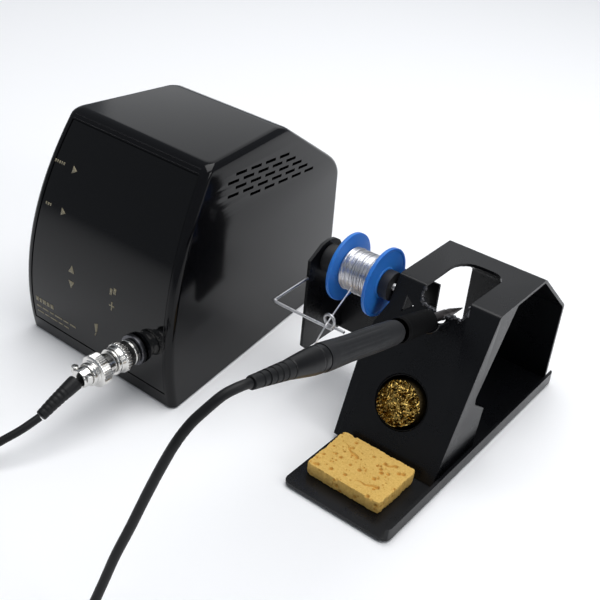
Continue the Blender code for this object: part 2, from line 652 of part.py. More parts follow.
def iron():
    """Soldering iron: tip, barrel, nut, grip, rear handle and strain relief."""
    turned("iron_tip", [(0, -0.0563), (0.0024, -0.0563), (0.0024, -0.0620), (0.0004, -0.0780),
                        (0, -0.0782)], STEEL, iron_axis, steps=12)
    turned("iron_barrel", [(0, -0.0113), (0.0028, -0.0113), (0.0028, -0.0560), (0, -0.0560)],
           STEEL, iron_axis, steps=14)
    turned("barrel_nut", [(0, -0.0003), (0.0042, -0.0003), (0.0044, -0.0100), (0.0034, -0.0110),
                          (0, -0.0110)], NICKEL, iron_axis, steps=14)
    turned("iron_grip", [(0.0072, 0.0730), (0.0074, 0.0660), (0.0070, 0.0480), (0.0072, 0.0250),
                         (0.0070, 0.0140), (0.0069, 0.0060), (0.0064, 0.0025), (0.0048, 0.0), (0.0036, 0.0),
                         (0.0036, 0.0730)], RUBBER_BLACK, iron_axis, steps=16, ring=True)
    turned("iron_handle", [(0, 0.0990), (0.0050, 0.0990), (0.0070, 0.0800), (0.0070, 0.0733),
                           (0.0033, 0.0733), (0.0033, 0.0010), (0, 0.0010)],
           MATT_BLACK, iron_axis, steps=16)
    turned("iron_boot", [(0, 0.1270), (0.0033, 0.1270), (0.0048, 0.0993), (0, 0.0993)],
           RUBBER_BLACK, iron_axis, steps=14)


# ---------------------------------------------------------------- solder reel

REEL_TURN = (0, math.pi / 2, 0)
ARM_X = -0.0525


def reel_bracket():
    """Bent steel bracket: outer arm, web into the frame, and the tab screwed to the frame's rib."""
    arm = [(0.080, 0.030), (0.080, REEL_Z + 0.004)]
    arm += [(REEL_Y - 0.013 * math.cos(math.pi * k / 6), REEL_Z + 0.004 + 0.008 * math.sin(math.pi * k / 6))
            for k in range(1, 6)]
    arm += [(0.1210, REEL_Z - 0.010), (0.1210, 0.026), (0.084, 0.026)]
    bracket = add("reel_bracket", prism(arm, ARM_X, ARM_X + SHEET, "YZ"), SATIN_BLACK, stand)
    web = [(ARM_X + 0.0001, 0.0261), (-0.0004, 0.0261), (-0.0004, 0.0660), (0.0160, 0.0660),
           (0.0160, 0.0868), (-0.0120, 0.0868), (-0.0120, 0.0560), (ARM_X + 0.0001, 0.0560)]
    change(bracket, prism(web, 0.1199, 0.1219, "XZ"), "UNION")
    tab = [(0.0815, 0.0340), (0.1205, 0.0340), (0.1205, 0.0520), (0.0815, 0.0520)]
    change(bracket, prism(tab, -0.0023, -0.0003, "YZ"), "UNION")
    change(bracket, rod(0.0028, ARM_X - 0.01, ARM_X + 0.01, "X", 14, (REEL_Y, REEL_Z)))
    change(bracket, rod(0.0018, -0.0050, 0.0050, "X", 10, TAB_SCREW))
    turned("bracket_screw", [(0, 0.0030), (0.0014, 0.0030), (0.0014, -0.0026), (0.0027, -0.0026),
                             (0.0024, -0.0044), (0, -0.0046)], STEEL, stand,
           (0, *TAB_SCREW), REEL_TURN, steps=10)


def reel():
    """Axle, two plain hubs, the reel and the solder wound on it."""
    at = (0, REEL_Y, REEL_Z)
    turned("reel_axle", [(0, -0.0004), (0.0025, -0.0004), (0.0025, -0.0528), (0.0045, -0.0528),
                         (0.0042, -0.0550), (0, -0.0552)], STEEL, stand, at, REEL_TURN, steps=14)
    for name, low, high in (("hub_outer", -0.0500, REEL_LEFT - GAP), ("hub_inner", REEL_RIGHT + GAP, -0.0020)):
        turned(name, [(0.0090, high), (0.0090, low), (0.0028, low), (0.0028, high)],
               MATT_BLACK, stand, at, REEL_TURN, steps=18, ring=True)
    left, right, edge = REEL_LEFT + FLANGE, REEL_RIGHT - FLANGE, REEL_RADIUS - 0.0006
    turned("solder_reel", [(edge, REEL_RIGHT), (REEL_RADIUS, REEL_RIGHT - 0.0007),
                           (REEL_RADIUS, right + 0.0007), (edge, right), (0.0085, right),
                           (0.0085, left), (edge, left), (REEL_RADIUS, left - 0.0007),
                           (REEL_RADIUS, REEL_LEFT + 0.0007), (edge, REEL_LEFT),
                           (0.0028, REEL_LEFT), (0.0028, REEL_RIGHT)],
           BLUE, stand, at, REEL_TURN, steps=28, ring=True)
    turned("solder_winding", [(0.0134, right - GAP), (0.0137, (left + right) / 2), (0.0134, left + GAP),
                              (0.0088, left + GAP), (0.0088, right - GAP)],
           SOLDER, stand, at, REEL_TURN, steps=20, ring=True)


REEL_LEFT, REEL_RIGHT, FLANGE = -0.0362, -0.0084, 0.0022


def guide_and_strand():
    """Wire guide with its eye in front of the reel, and the strand of solder through it."""
    wire_x, eye_x, eye_radius, bar_y, bar_z = ARM_X + 0.0012, -0.0118, 0.0038, 0.0468, 0.0788
    points = [(wire_x, 0.0797, bar_z + 0.001), (wire_x, 0.0520, bar_z), (wire_x + 0.0008, 0.0485, bar_z),
              (wire_x + 0.0035, bar_y, bar_z)]
    for k in range(13):
        angle = math.tau * k / 12 - math.pi / 2
        points.append((eye_x + eye_radius * math.cos(angle), bar_y + 0.0024 * k / 12,
                       bar_z + eye_radius * (1 + math.sin(angle))))
    points.append((-0.0020, bar_y + 0.0024, bar_z))
    tube("guide_wire", points, 0.0009, STEEL, stand)
    strand = smooth_route([(-0.0215, 0.0830, 0.0850), (-0.0170, 0.0660, 0.0838),
                           (-0.0125, 0.0490, 0.0826), (-0.0118, 0.0430, 0.0795),
                           (-0.0135, 0.0400, 0.0720), (-0.0160, 0.0400, 0.0640)], 0.0050)
    tube("solder_strand", strand, 0.0005, SOLDER, stand)


upper_shell()
front_panel()
base_plate()
for number, (screw_x, screw_y) in enumerate(BASE_SCREWS, 1):
    base_screw(number, screw_x, screw_y)
feet()
back_panel()
mains_inlet()
rocker_switch()
fuse_cap()
boards()
transformer()
socket_and_plug()
lead()
stand_base()
stand_pads()
stand_frame()
wool_and_sponge()
iron_holder()
iron()
reel_bracket()
reel()
guide_and_strand()
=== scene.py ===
import json

import bmesh
import bpy
import numpy as np
from mathutils import Matrix, Vector


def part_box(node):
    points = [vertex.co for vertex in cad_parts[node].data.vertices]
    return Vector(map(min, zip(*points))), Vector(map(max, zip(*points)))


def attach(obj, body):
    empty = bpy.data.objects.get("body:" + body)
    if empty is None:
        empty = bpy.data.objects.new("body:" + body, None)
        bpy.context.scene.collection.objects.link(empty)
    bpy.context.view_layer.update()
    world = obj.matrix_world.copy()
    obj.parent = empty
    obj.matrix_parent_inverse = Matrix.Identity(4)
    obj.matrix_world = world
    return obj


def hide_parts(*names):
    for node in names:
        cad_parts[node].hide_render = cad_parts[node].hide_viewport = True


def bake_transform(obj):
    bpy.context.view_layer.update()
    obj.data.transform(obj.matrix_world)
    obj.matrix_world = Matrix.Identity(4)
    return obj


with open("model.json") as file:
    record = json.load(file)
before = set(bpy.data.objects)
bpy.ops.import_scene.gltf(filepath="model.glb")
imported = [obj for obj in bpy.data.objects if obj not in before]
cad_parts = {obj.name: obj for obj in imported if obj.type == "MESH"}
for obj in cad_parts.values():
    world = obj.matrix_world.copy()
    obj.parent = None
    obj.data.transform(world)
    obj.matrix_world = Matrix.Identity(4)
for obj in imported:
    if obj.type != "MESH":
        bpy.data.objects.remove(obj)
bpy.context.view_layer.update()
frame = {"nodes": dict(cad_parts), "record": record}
record = frame["record"]
body_of = {node: body for body, nodes in record["behaviour"]["bodies"].items() for node in nodes}

# ---------------------------------------------------------------- studio
# A plain pale table in an even pale room, under large soft lamps above, at the right and behind.

scene = bpy.context.scene
scene.view_settings.view_transform = "Standard"

eye = Vector((0.32965, -0.4102, 0.3944))
view = Vector((-0.49489, 0.68942, -0.52895)).normalized()
tilt_up = Vector((-0.38823, 0.36916, 0.84439))
right = view.cross(tilt_up).normalized()
camera_data = bpy.data.cameras.new("camera")
camera_data.sensor_width, camera_data.lens = 36.0, 61.07
camera_data.shift_x, camera_data.shift_y = -0.0111, -0.0058
camera_data.clip_start = 0.01
camera = bpy.data.objects.new("camera", camera_data)
camera.matrix_world = Matrix.Translation(eye) @ Matrix((right, right.cross(view), -view)).transposed().to_4x4()
scene.collection.objects.link(camera)
scene.camera = camera


def lamp(name, place, aim, size, power):
    """Square soft lamp at a place, turned to face another."""
    data = bpy.data.lights.new(name, "AREA")
    data.size, data.energy = size, power
    obj = bpy.data.objects.new(name, data)
    obj.location = place
    obj.rotation_euler = (Vector(aim) - Vector(place)).to_track_quat("-Z", "Y").to_euler()
    scene.collection.objects.link(obj)


lamp("lamp_above", (0.1, 0.2, 1.5), (0, 0, 0), 1.4, 23)
lamp("lamp_right", (1.5, 0.1, 0.8), (0.1, 0, 0.05), 0.6, 5)
lamp("lamp_behind", (-1.1, 1.7, 1.3), (0, 0, 0.1), 1.6, 5)


def room_light():
    """The same pale light from every side."""
    world = bpy.data.worlds.new("room")
    scene.world = world
    world.use_nodes = True
    background = world.node_tree.nodes["Background"]
    background.inputs["Color"].default_value = (0.86, 0.92, 1.0, 1)
    background.inputs["Strength"].default_value = 0.30


def table_top():
    """Flat table of one pale colour."""
    mesh = bpy.data.meshes.new("table")
    mesh.from_pydata([(-4, -4, 0), (4, -4, 0), (4, 4, 0), (-4, 4, 0)], [], [(0, 1, 2, 3)])
    table = bpy.data.objects.new("table", mesh)
    scene.collection.objects.link(table)
    material = bpy.data.materials.new("table_white")
    material.use_nodes = True
    shader = material.node_tree.nodes["Principled BSDF"]
    shader.inputs["Base Color"].default_value = (0.93, 0.93, 0.94, 1)
    shader.inputs["Roughness"].default_value = 0.9
    mesh.materials.append(material)


room_light()
table_top()

# ---------------------------------------------------------------- lead
# One soft rubber lead from the plug's boot to the iron: down to the table, into a flat coil of a
# few turns held by a tie, and up to the iron. The skin is extruded, with a fine matt grain.


def value_group(name, build, inputs, outputs):
    """Shader node group with float inputs and the outputs named, filled in by build."""
    tree = bpy.data.node_groups.new(name, "ShaderNodeTree")
    for label, value in inputs.items():
        socket = tree.interface.new_socket(label, in_out="INPUT", socket_type="NodeSocketFloat")
        socket.default_value = value
    for label in outputs:
        tree.interface.new_socket(label, in_out="OUTPUT", socket_type="NodeSocketFloat")
    start, end = tree.nodes.new("NodeGroupInput"), tree.nodes.new("NodeGroupOutput")
    build(tree.nodes, tree.links, start, end)
    return tree


def build_grain(nodes, links, start, end):
    """Coarse noise and fine noise, mixed, and spread between Low and High."""
    where = nodes.new("ShaderNodeTexCoord")
    coarse, fine = nodes.new("ShaderNodeTexNoise"), nodes.new("ShaderNodeTexNoise")
    coarse.inputs["Detail"].default_value, fine.inputs["Detail"].default_value = 4, 2
    for noise, label in ((coarse, "Coarse"), (fine, "Fine")):
        links.new(where.outputs["Object"], noise.inputs["Vector"])
        links.new(start.outputs[label], noise.inputs["Scale"])
    both = nodes.new("ShaderNodeMath")
    both.operation = "MULTIPLY_ADD"
    both.inputs[1].default_value = 0.7
    links.new(coarse.outputs["Fac"], both.inputs[0])
    share = nodes.new("ShaderNodeMath")
    share.operation, share.inputs[1].default_value = "MULTIPLY", 0.3
    links.new(fine.outputs["Fac"], share.inputs[0])
    links.new(share.outputs["Value"], both.inputs[2])
    spread = nodes.new("ShaderNodeMapRange")
    spread.inputs["From Min"].default_value, spread.inputs["From Max"].default_value = 0.3, 0.7
    links.new(both.outputs["Value"], spread.inputs["Value"])
    links.new(start.outputs["Low"], spread.inputs["To Min"])
    links.new(start.outputs["High"], spread.inputs["To Max"])
    links.new(spread.outputs["Result"], end.inputs["Value"])
    links.new(fine.outputs["Fac"], end.inputs["Height"])


grain = value_group("grain", build_grain, {"Coarse": 40, "Fine": 2500, "Low": 0.3, "High": 0.5},
                    ("Value", "Height"))


def finish(name, colour, rough, coarse=40, fine=2500, bump=0.00002, metallic=0.0, shine=0.5, second=None):
    """Principled material whose roughness and colour vary by the grain group, with a fine bump."""
    material = bpy.data.materials.new(name)
    material.use_nodes = True
    nodes, links = material.node_tree.nodes, material.node_tree.links
    shader = nodes["Principled BSDF"]
    shader.inputs["Metallic"].default_value = metallic
    shader.inputs["Specular IOR Level"].default_value = shine
    group = nodes.new("ShaderNodeGroup")
    group.node_tree = grain
    for label, value in (("Coarse", coarse), ("Fine", fine), ("Low", rough[0]), ("High", rough[1])):
        group.inputs[label].default_value = value
    links.new(group.outputs["Value"], shader.inputs["Roughness"])
    tint = nodes.new("ShaderNodeMix")
    tint.data_type = "RGBA"
    tint.inputs["A"].default_value = (*colour, 1)
    tint.inputs["B"].default_value = (*(second or tuple(1.25 * c for c in colour)), 1)
    links.new(group.outputs["Height"], tint.inputs["Factor"])
    links.new(tint.outputs["Result"], shader.inputs["Base Color"])
    relief = nodes.new("ShaderNodeBump")
    relief.inputs["Distance"].default_value = bump
    relief.inputs["Strength"].default_value = 1.0
    links.new(group.outputs["Height"], relief.inputs["Height"])
    links.new(relief.outputs["Normal"], shader.inputs["Normal"])
    return material


def piece(name, points, faces, material, sharp=40.0, **marks):
    """Object from points and faces, merged where points meet, turned outwards and shaded smooth.
    Each mark is a value for every point, kept under its name."""
    bm = bmesh.new()
    mesh = bpy.data.meshes.new(name)
    mesh.from_pydata(np.asarray(points, float).reshape(-1, 3).tolist(), [], faces)
    for mark, values in marks.items():
        layer = mesh.attributes.new(mark, "FLOAT", "POINT")
        layer.data.foreach_set("value", np.asarray(values, np.float32).ravel())
    bm.from_mesh(mesh)
    bmesh.ops.remove_doubles(bm, verts=bm.verts, dist=1e-6)
    bmesh.ops.recalc_face_normals(bm, faces=bm.faces)
    bm.to_mesh(mesh)
    bm.free()
    mesh.shade_smooth()
    mesh.set_sharp_from_angle(angle=np.radians(sharp))
    mesh.materials.append(material)
    obj = bpy.data.objects.new(name, mesh)
    scene.collection.objects.link(obj)
    return obj


def grid_faces(rows, columns, around=True, ends=False, first=0):
    """Four-cornered faces of a grid of points, joined round each row, with its end rows closed."""
    across = columns if around else columns - 1
    row, column = np.meshgrid(np.arange(rows - 1) * columns, np.arange(across), indexing="ij")
    after = (column + 1) % columns
    corners = [row + column, row + after, row + columns + after, row + columns + column]
    faces = (first + np.stack(corners, -1).reshape(-1, 4)).tolist()
    if ends:
        last = first + (rows - 1) * columns
        faces += [(start + np.arange(columns)).tolist() for start in (first, last)]
    return faces


def smooth_route(route, spacing):
    """Evenly spaced points on the Catmull-Rom curve through the route: each stretch is the cubic
    whose slope at a point is half the step between that point's neighbours."""
    knots = np.array([2 * np.array(route[0]) - route[1], *route, 2 * np.array(route[-1]) - route[-2]])
    t = np.linspace(0, 1, 24, endpoint=False)[:, None, None]
    a, b, c, d = knots[:-3], knots[1:-2], knots[2:-1], knots[3:]
    fine = 0.5 * (2 * b + (c - a) * t + (2 * a - 5 * b + 4 * c - d) * t**2 + (3 * b - a - 3 * c + d) * t**3)
    fine = np.vstack([fine.transpose(1, 0, 2).reshape(-1, 3), knots[-2]])
    lengths = np.concatenate([[0], np.cumsum(np.linalg.norm(np.diff(fine, axis=0), axis=1))])
    goals = np.linspace(0, lengths[-1], max(3, round(lengths[-1] / spacing) + 1))
    return np.stack([np.interp(goals, lengths, fine[:, k]) for k in range(3)], 1)


def tube_points(path, radius, sides=12, lean=(0.31, 0.47, 0.83)):
    """Rings round a path: each point plus the radius times cos and sin of the angle along two
    directions square to the path."""
    path = np.asarray(path, float)
    along = np.gradient(path, axis=0)
    along /= np.linalg.norm(along, axis=1)[:, None]
    across = np.cross(along, np.array(lean))
    across /= np.linalg.norm(across, axis=1)[:, None]
    over = np.cross(along, across)
    angle = np.linspace(0, 2 * np.pi, sides, endpoint=False)[None, :, None]
    radius = np.broadcast_to(np.asarray(radius, float), (len(path),))[:, None, None]
    return path[:, None] + radius * (np.cos(angle) * across[:, None] + np.sin(angle) * over[:, None])


def tube(name, path, radius, material, sides=12):
    """Round bar or lead along a path, closed at both ends."""
    rings = tube_points(path, radius, sides)
    return piece(name, rings, grid_faces(len(rings), sides, ends=True), material, 50)


def placed(obj, *nodes, slot=None, body=None):
    """Ride on the body of the CAD nodes that this piece stands for, and hide them."""
    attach(obj, body or body_of[nodes[0]])
    if nodes:
        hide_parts(*nodes)
    return obj


LAYOUT = np.array([-0.0001, 0.0010, 0.0])
LEAD_RADIUS, LEAD_REST = 0.0024, 0.0027
COIL_AT, COIL_INNER, COIL_OUTER, COIL_EDGE = (-0.0414, -0.2446), 0.0256, 0.0304, 0.0361
PLUG_ROUTE = [(-0.0428, -0.1359, 0.0227), (-0.0453, -0.1470, 0.0186), (-0.0494, -0.1583, 0.0145),
              (-0.0537, -0.1690, 0.0102), (-0.0590, -0.1800, 0.0062), (-0.0640, -0.1920, 0.0036),
              (-0.0690, -0.2050, 0.0027), (-0.0735, -0.2200, 0.0027), (-0.0765, -0.2330, 0.0027)]
IRON_ROUTE = [(0.1097, -0.1399, 0.1307), (0.1095, -0.1450, 0.1319), (0.1069, -0.1532, 0.1302),
              (0.1036, -0.1612, 0.1243), (0.1011, -0.1669, 0.1190), (0.0981, -0.1725, 0.1100),
              (0.0946, -0.1777, 0.0969), (0.0906, -0.1826, 0.0812), (0.0866, -0.1878, 0.0642),
              (0.0826, -0.1933, 0.0478), (0.0790, -0.1985, 0.0300), (0.0760, -0.2040, 0.0150),
              (0.0725, -0.2110, 0.0058), (0.0670, -0.2200, 0.0028), (0.0580, -0.2330, 0.0027),
              (0.0440, -0.2480, 0.0027), (0.0250, -0.2620, 0.0027), (0.0040, -0.2730, 0.0027),
              (-0.0170, -0.2790, 0.0027), (-0.0280, -0.2805, 0.0027)]


def coil_route(turns=3.25, points_a_turn=24):
    """Turns laid two wide and two high. Radius and height are steps smoothed over part of a turn:
    in from the table, in again, up onto the first layer, out again, and off over the outside."""
    turn = np.arange(0, turns + 1e-6, 1 / points_a_turn)

    def ease(begin, end):
        """0 before, 1 after, and 3t^2 - 2t^3 between."""
        t = np.clip((turn - begin) / (end - begin), 0, 1)
        return t * t * (3 - 2 * t)

    step = COIL_OUTER - COIL_INNER
    radius = COIL_EDGE - (COIL_EDGE - COIL_OUTER) * ease(0, 0.25) - step * ease(0.95, 1.2)
    height = LEAD_REST + 2 * LEAD_RADIUS * ease(1.75, 2.0)
    radius = radius + step * ease(2.55, 2.8)
    off = ease(2.95, 3.25) * np.pi / 2
    radius = radius + 2 * LEAD_RADIUS * np.sin(off)
    radius = radius + (COIL_EDGE - COIL_OUTER - 2 * LEAD_RADIUS) * ease(3.0, 3.25)
    height = height - 2 * LEAD_RADIUS * (1 - np.cos(off))
    angle = np.pi + 2 * np.pi * turn
    return np.stack([COIL_AT[0] + radius * np.cos(angle), COIL_AT[1] + radius * np.sin(angle), height], 1)


rubber = finish("lead_rubber", (0.005, 0.0052, 0.0058), (0.38, 0.55), 90, 4000, 0.00002, shine=0.25)
route = [*PLUG_ROUTE, *coil_route().tolist(), *reversed(IRON_ROUTE)]
lead_path = smooth_route(route, 0.0025) + LAYOUT
lead = tube("lead", lead_path, LEAD_RADIUS, rubber, 14)
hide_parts("lead_plug_side", "lead_coil", "lead_iron_side")
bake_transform(lead)


def coil_tie():
    """Flat soft strap once round the coil's section: an oval loop about the middle of the turns."""
    angle, around = np.radians(38), np.linspace(0, 2 * np.pi, 40, endpoint=False)
    half_wide, half_high = 0.0056, 0.0053
    out = np.sign(np.cos(around)) * np.abs(np.cos(around)) ** 0.6 * half_wide
    up = np.sign(np.sin(around)) * np.abs(np.sin(around)) ** 0.6 * half_high
    middle = (COIL_INNER + COIL_OUTER) / 2
    rings = []
    for along, grow in ((-0.004, 0.0), (-0.004, 0.0006), (0.004, 0.0006), (0.004, 0.0)):
        radius, height = middle + out * (1 + grow / half_wide), 0.0053 + up * (1 + grow / half_high)
        x = radius * np.cos(angle) - along * np.sin(angle)
        y = radius * np.sin(angle) + along * np.cos(angle)
        rings.append(np.stack([COIL_AT[0] + x, COIL_AT[1] + y, np.maximum(height, 0.0001)], 1) + LAYOUT)
    rings.append(rings[0])
    strap = piece("coil_tie", rings, grid_faces(5, 40), rubber, 40)
    return placed(strap, slot="black_rubber", body=body_of["lead_coil"])


tie = coil_tie()

# ---------------------------------------------------------------- control unit's case
# Moulded in gloss black plastic with a bowed front, a flat roof and a sloping back. Rows of slots
# are moulded through both sides near the top.

shell_low, shell_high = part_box("upper_shell")
CASE_DEPTH, CASE_HEIGHT, CASE_WALL, CASE_RIM = 0.190, 0.150, 0.0025, 0.006
UNIT = np.array([(shell_low.x + shell_high.x) / 2, shell_high.y - CASE_DEPTH, 0.0])
SKIRT_Z, ROOF_END, ROOF_DROP, CORNER = 0.0010, 0.112, 0.051, 0.0045


def front_y(z):
    """How far back the front lies at a height: a parabola."""
    return 2.867 * z**2 - 0.2033 * z


def half_width(y, z):
    """Half the case's width: it falls evenly to the back and a little to the top."""
    return 0.0665 - 0.0255 * y / CASE_DEPTH - 0.0030 * z / CASE_HEIGHT


def back_y(z):
    """How far back the rear lies: upright, then along the sloping back, with a rounded bend."""
    bend, blend = CASE_HEIGHT - ROOF_DROP, 0.010
    slope = (CASE_DEPTH - ROOF_END) / ROOF_DROP
    past = z - bend
    rounded = np.where(np.abs(past) < blend, (past + blend) ** 2 / (4 * blend), np.maximum(past, 0))
    return CASE_DEPTH - slope * rounded


def plan(front, back, front_half, back_half, radius, arc=6):
    """Rows of points round a tapered plan. Each corner is a weighted quadratic curve between the
    two points that lie the radius away from it along its sides."""
    corners = np.stack([np.stack([-front_half, front], -1), np.stack([front_half, front], -1),
                        np.stack([back_half, back], -1), np.stack([-back_half, back], -1)], 1)
    before, after = np.roll(corners, 1, 1) - corners, np.roll(corners, -1, 1) - corners
    before /= np.linalg.norm(before, axis=-1, keepdims=True)
    after /= np.linalg.norm(after, axis=-1, keepdims=True)
    t = np.linspace(0, 1, arc)[:, None]
    reach = np.asarray(radius)[:, None, None, None]
    middle = corners[:, :, None]
    start, end = middle + before[:, :, None] * reach, middle + after[:, :, None] * reach
    weight = 0.72
    curve = ((1 - t) ** 2 * start + 2 * weight * t * (1 - t) * middle + t**2 * end) / (
        (1 - t) ** 2 + 2 * weight * t * (1 - t) + t**2)
    return curve.reshape(len(corners), -1, 2)


def case_rows():
    """The case from its skirt to the middle of its roof: a rounded plan at each height, drawn in
    along a quarter circle at the roof's edge, then shrunk to a line."""
    walls = np.linspace(SKIRT_Z, CASE_HEIGHT - CORNER, 44)
    turn = np.linspace(0, np.pi / 2, 7)[1:]
    z = np.concatenate([walls, CASE_HEIGHT - CORNER + CORNER * np.sin(turn)])
    inset = np.concatenate([np.zeros(len(walls)), CORNER * (1 - np.cos(turn))])
    front, back = front_y(z) + inset, back_y(z) - inset
    rows = plan(front, back, half_width(front, z) - inset, half_width(back, z) - inset,
                np.full(len(z), 0.0048))
    points = np.concatenate([rows, np.repeat(z[:, None, None], rows.shape[1], 1)], -1)
    return points + UNIT


def bow_plate(inset, near, far, steps=26, across=9):
    """Closed plate between two copies of the bowed front, drawn in from the case's outline."""
    z = np.linspace(0.0042 + inset, CASE_HEIGHT - inset, steps)[:, None]
    share = np.linspace(-1, 1, across)[None, :]
    faces, points = [], []
    half = half_width(front_y(z), z) - inset
    for shift in (near, far):
        x, y = share * half, front_y(z) + shift + 0 * share
        points.append(np.stack([x, y, z + 0 * share], -1).reshape(-1, 3))
    count = steps * across
    faces = grid_faces(steps, across, around=False) + grid_faces(steps, across, around=False, first=count)
    last = (steps - 1) * across
    rim = np.concatenate([np.arange(across), np.arange(1, steps) * across + across - 1,
                          last + np.arange(across - 2, -1, -1), np.arange(steps - 2, 0, -1) * across])
    after = np.roll(rim, -1)
    faces += np.stack([rim, after, after + count, rim + count], 1).tolist()
    return np.vstack(points) + UNIT, faces


def cut(obj, points, faces):
    """Take a closed shape out of an object, and keep the result as its mesh."""
    tool = piece("cutter", points, faces, obj.data.materials[0])
    boolean = obj.modifiers.new("cut", "BOOLEAN")
    boolean.object, boolean.solver = tool, "EXACT"
    applied(obj)
    bpy.data.objects.remove(tool)


def applied(obj):
    """Keep the mesh that the object's modifiers give, and drop the modifiers."""
    bpy.context.view_layer.update()
    mesh = bpy.data.meshes.new_from_object(obj.evaluated_get(bpy.context.evaluated_depsgraph_get()))
    obj.modifiers.clear()
    obj.data = mesh


def boxes(centres, sizes, turns=None):
    """Closed boxes, eight corners each: centre plus or minus half the size, turned about X."""
    signs = np.array([(x, y, z) for z in (-1, 1) for y in (-1, 1) for x in (-1, 1)]) / 2
    points = []
    for k, (centre, size) in enumerate(zip(centres, sizes)):
        corner = signs * np.array(size)
        angle = 0.0 if turns is None else turns[k]
        c, s = np.cos(angle), np.sin(angle)
        y, z = corner[:, 1].copy(), corner[:, 2].copy()
        corner[:, 1], corner[:, 2] = y * c - z * s, y * s + z * c
        points.append(corner + centre)
    one = np.array([(0, 2, 3, 1), (4, 5, 7, 6), (0, 1, 5, 4), (2, 6, 7, 3), (0, 4, 6, 2), (1, 3, 7, 5)])
    return np.vstack(points), np.vstack([one + 8 * k for k in range(len(points))]).tolist()


def vent_slots():
    """Five staggered rows of slots on each side, falling a little to the back."""
    length, height, pitch, fall = 0.0114, 0.0019, 0.0160, 0.119
    centres = []
    for row, (start, count) in enumerate(((0, 4), (-0.5, 5), (0, 5), (-0.5, 6), (1, 5))):
        along = (start + np.arange(count)) * pitch + length / 2
        y, z = 0.0590 + along, 0.1366 - row * 0.0043 - along * fall
        for side in (-1, 1):
            centres += (np.stack([side * half_width(y, z), y, z], 1) + UNIT).tolist()
    return boxes(centres, [(0.012, length, height)] * len(centres), [-np.arctan(fall)] * len(centres))


def case():
    """The case: its outer skin given a wall, then the front, back and vent openings cut."""
    gloss = finish("case_gloss_black", (0.0022, 0.0022, 0.0028), (0.07, 0.16), 14, 600, 0.000003, shine=0.22)
    rows = case_rows()
    obj = piece("case", rows, grid_faces(rows.shape[0], rows.shape[1])
                + [((rows.shape[0] - 1) * rows.shape[1] + np.arange(rows.shape[1])).tolist()], gloss, 35)
    wall = obj.modifiers.new("wall", "SOLIDIFY")
    wall.thickness, wall.offset, wall.use_even_offset = CASE_WALL, -1.0, True
    applied(obj)
    cut(obj, *bow_plate(CASE_RIM, -0.012, 0.0065))
    cut(obj, *boxes([UNIT + (0, CASE_DEPTH, 0.050)], [(0.0620, 0.020, 0.078)]))
    cut(obj, *vent_slots())
    obj.data.shade_smooth()
    obj.data.set_sharp_from_angle(angle=np.radians(32))
    obj.name = "case"
    return placed(obj, "upper_shell")


def rim_lines():
    """Two fine raised lines along the rim over the front, drawn in from the sides."""
    gloss = bpy.data.materials["case_gloss_black"]
    for word, z in (("low", 0.1450), ("high", 0.1470)):
        x = np.linspace(-1, 1, 40) * (half_width(front_y(z), z) - 0.0062)
        inset = max(0.0, z - (CASE_HEIGHT - CORNER))
        y = front_y(z) + CORNER - np.sqrt(CORNER**2 - inset**2) + 0 * x
        line = tube(f"rim_line_{word}", np.stack([x, y, z + 0 * x], 1) + UNIT, 0.00035, gloss, 12)
        placed(line, slot="gloss_black", body=body_of["upper_shell"])


case()
rim_lines()

# ---------------------------------------------------------------- front panel
# A bowed plate of polished black acrylic, set a little into the case. Its marks are printed in
# pale grey: plain bars where words would be, arrow heads and simple signs for the touch keys.


def front_plate():
    """The plate with its rim broken by a fine chamfer."""
    polish = finish("panel_gloss_black", (0.0016, 0.0016, 0.002), (0.03, 0.07), 10, 300, 0.000001, shine=0.28)
    obj = piece("front_plate", *bow_plate(CASE_RIM + 0.0004, 0.0003, 0.0028), polish, 30)
    rim = obj.modifiers.new("rim", "BEVEL")
    rim.width, rim.segments, rim.limit_method, rim.angle_limit = 0.0004, 2, "ANGLE", np.radians(50)
    return placed(obj, "front_panel")


def strip(x0, z0, x1, z1):
    """Upright bar on the panel between two corners."""
    return [(x0, z0), (x1, z0), (x1, z1), (x0, z1)]


def dashes(x, z, widths, height=0.0016, gap=0.0007, slant=0.0):
    """Row of small bars, in place of letters."""
    shapes = []
    for width in widths:
        shapes.append(strip(x, z - height / 2 + slant * x, x + width, z + height / 2 + slant * x))
        x += width + gap
    return shapes


def arrow(x, z, size, way):
    """Arrow head that points right, up or down."""
    turn = {"right": 0, "up": np.pi / 2, "down": -np.pi / 2}[way]
    head = np.array([(0.6, 0), (-0.4, 0.55), (-0.4, -0.55)]) * size
    c, s = np.cos(turn), np.sin(turn)
    return (head @ np.array([(c, s), (-s, c)]) + (x, z)).tolist()


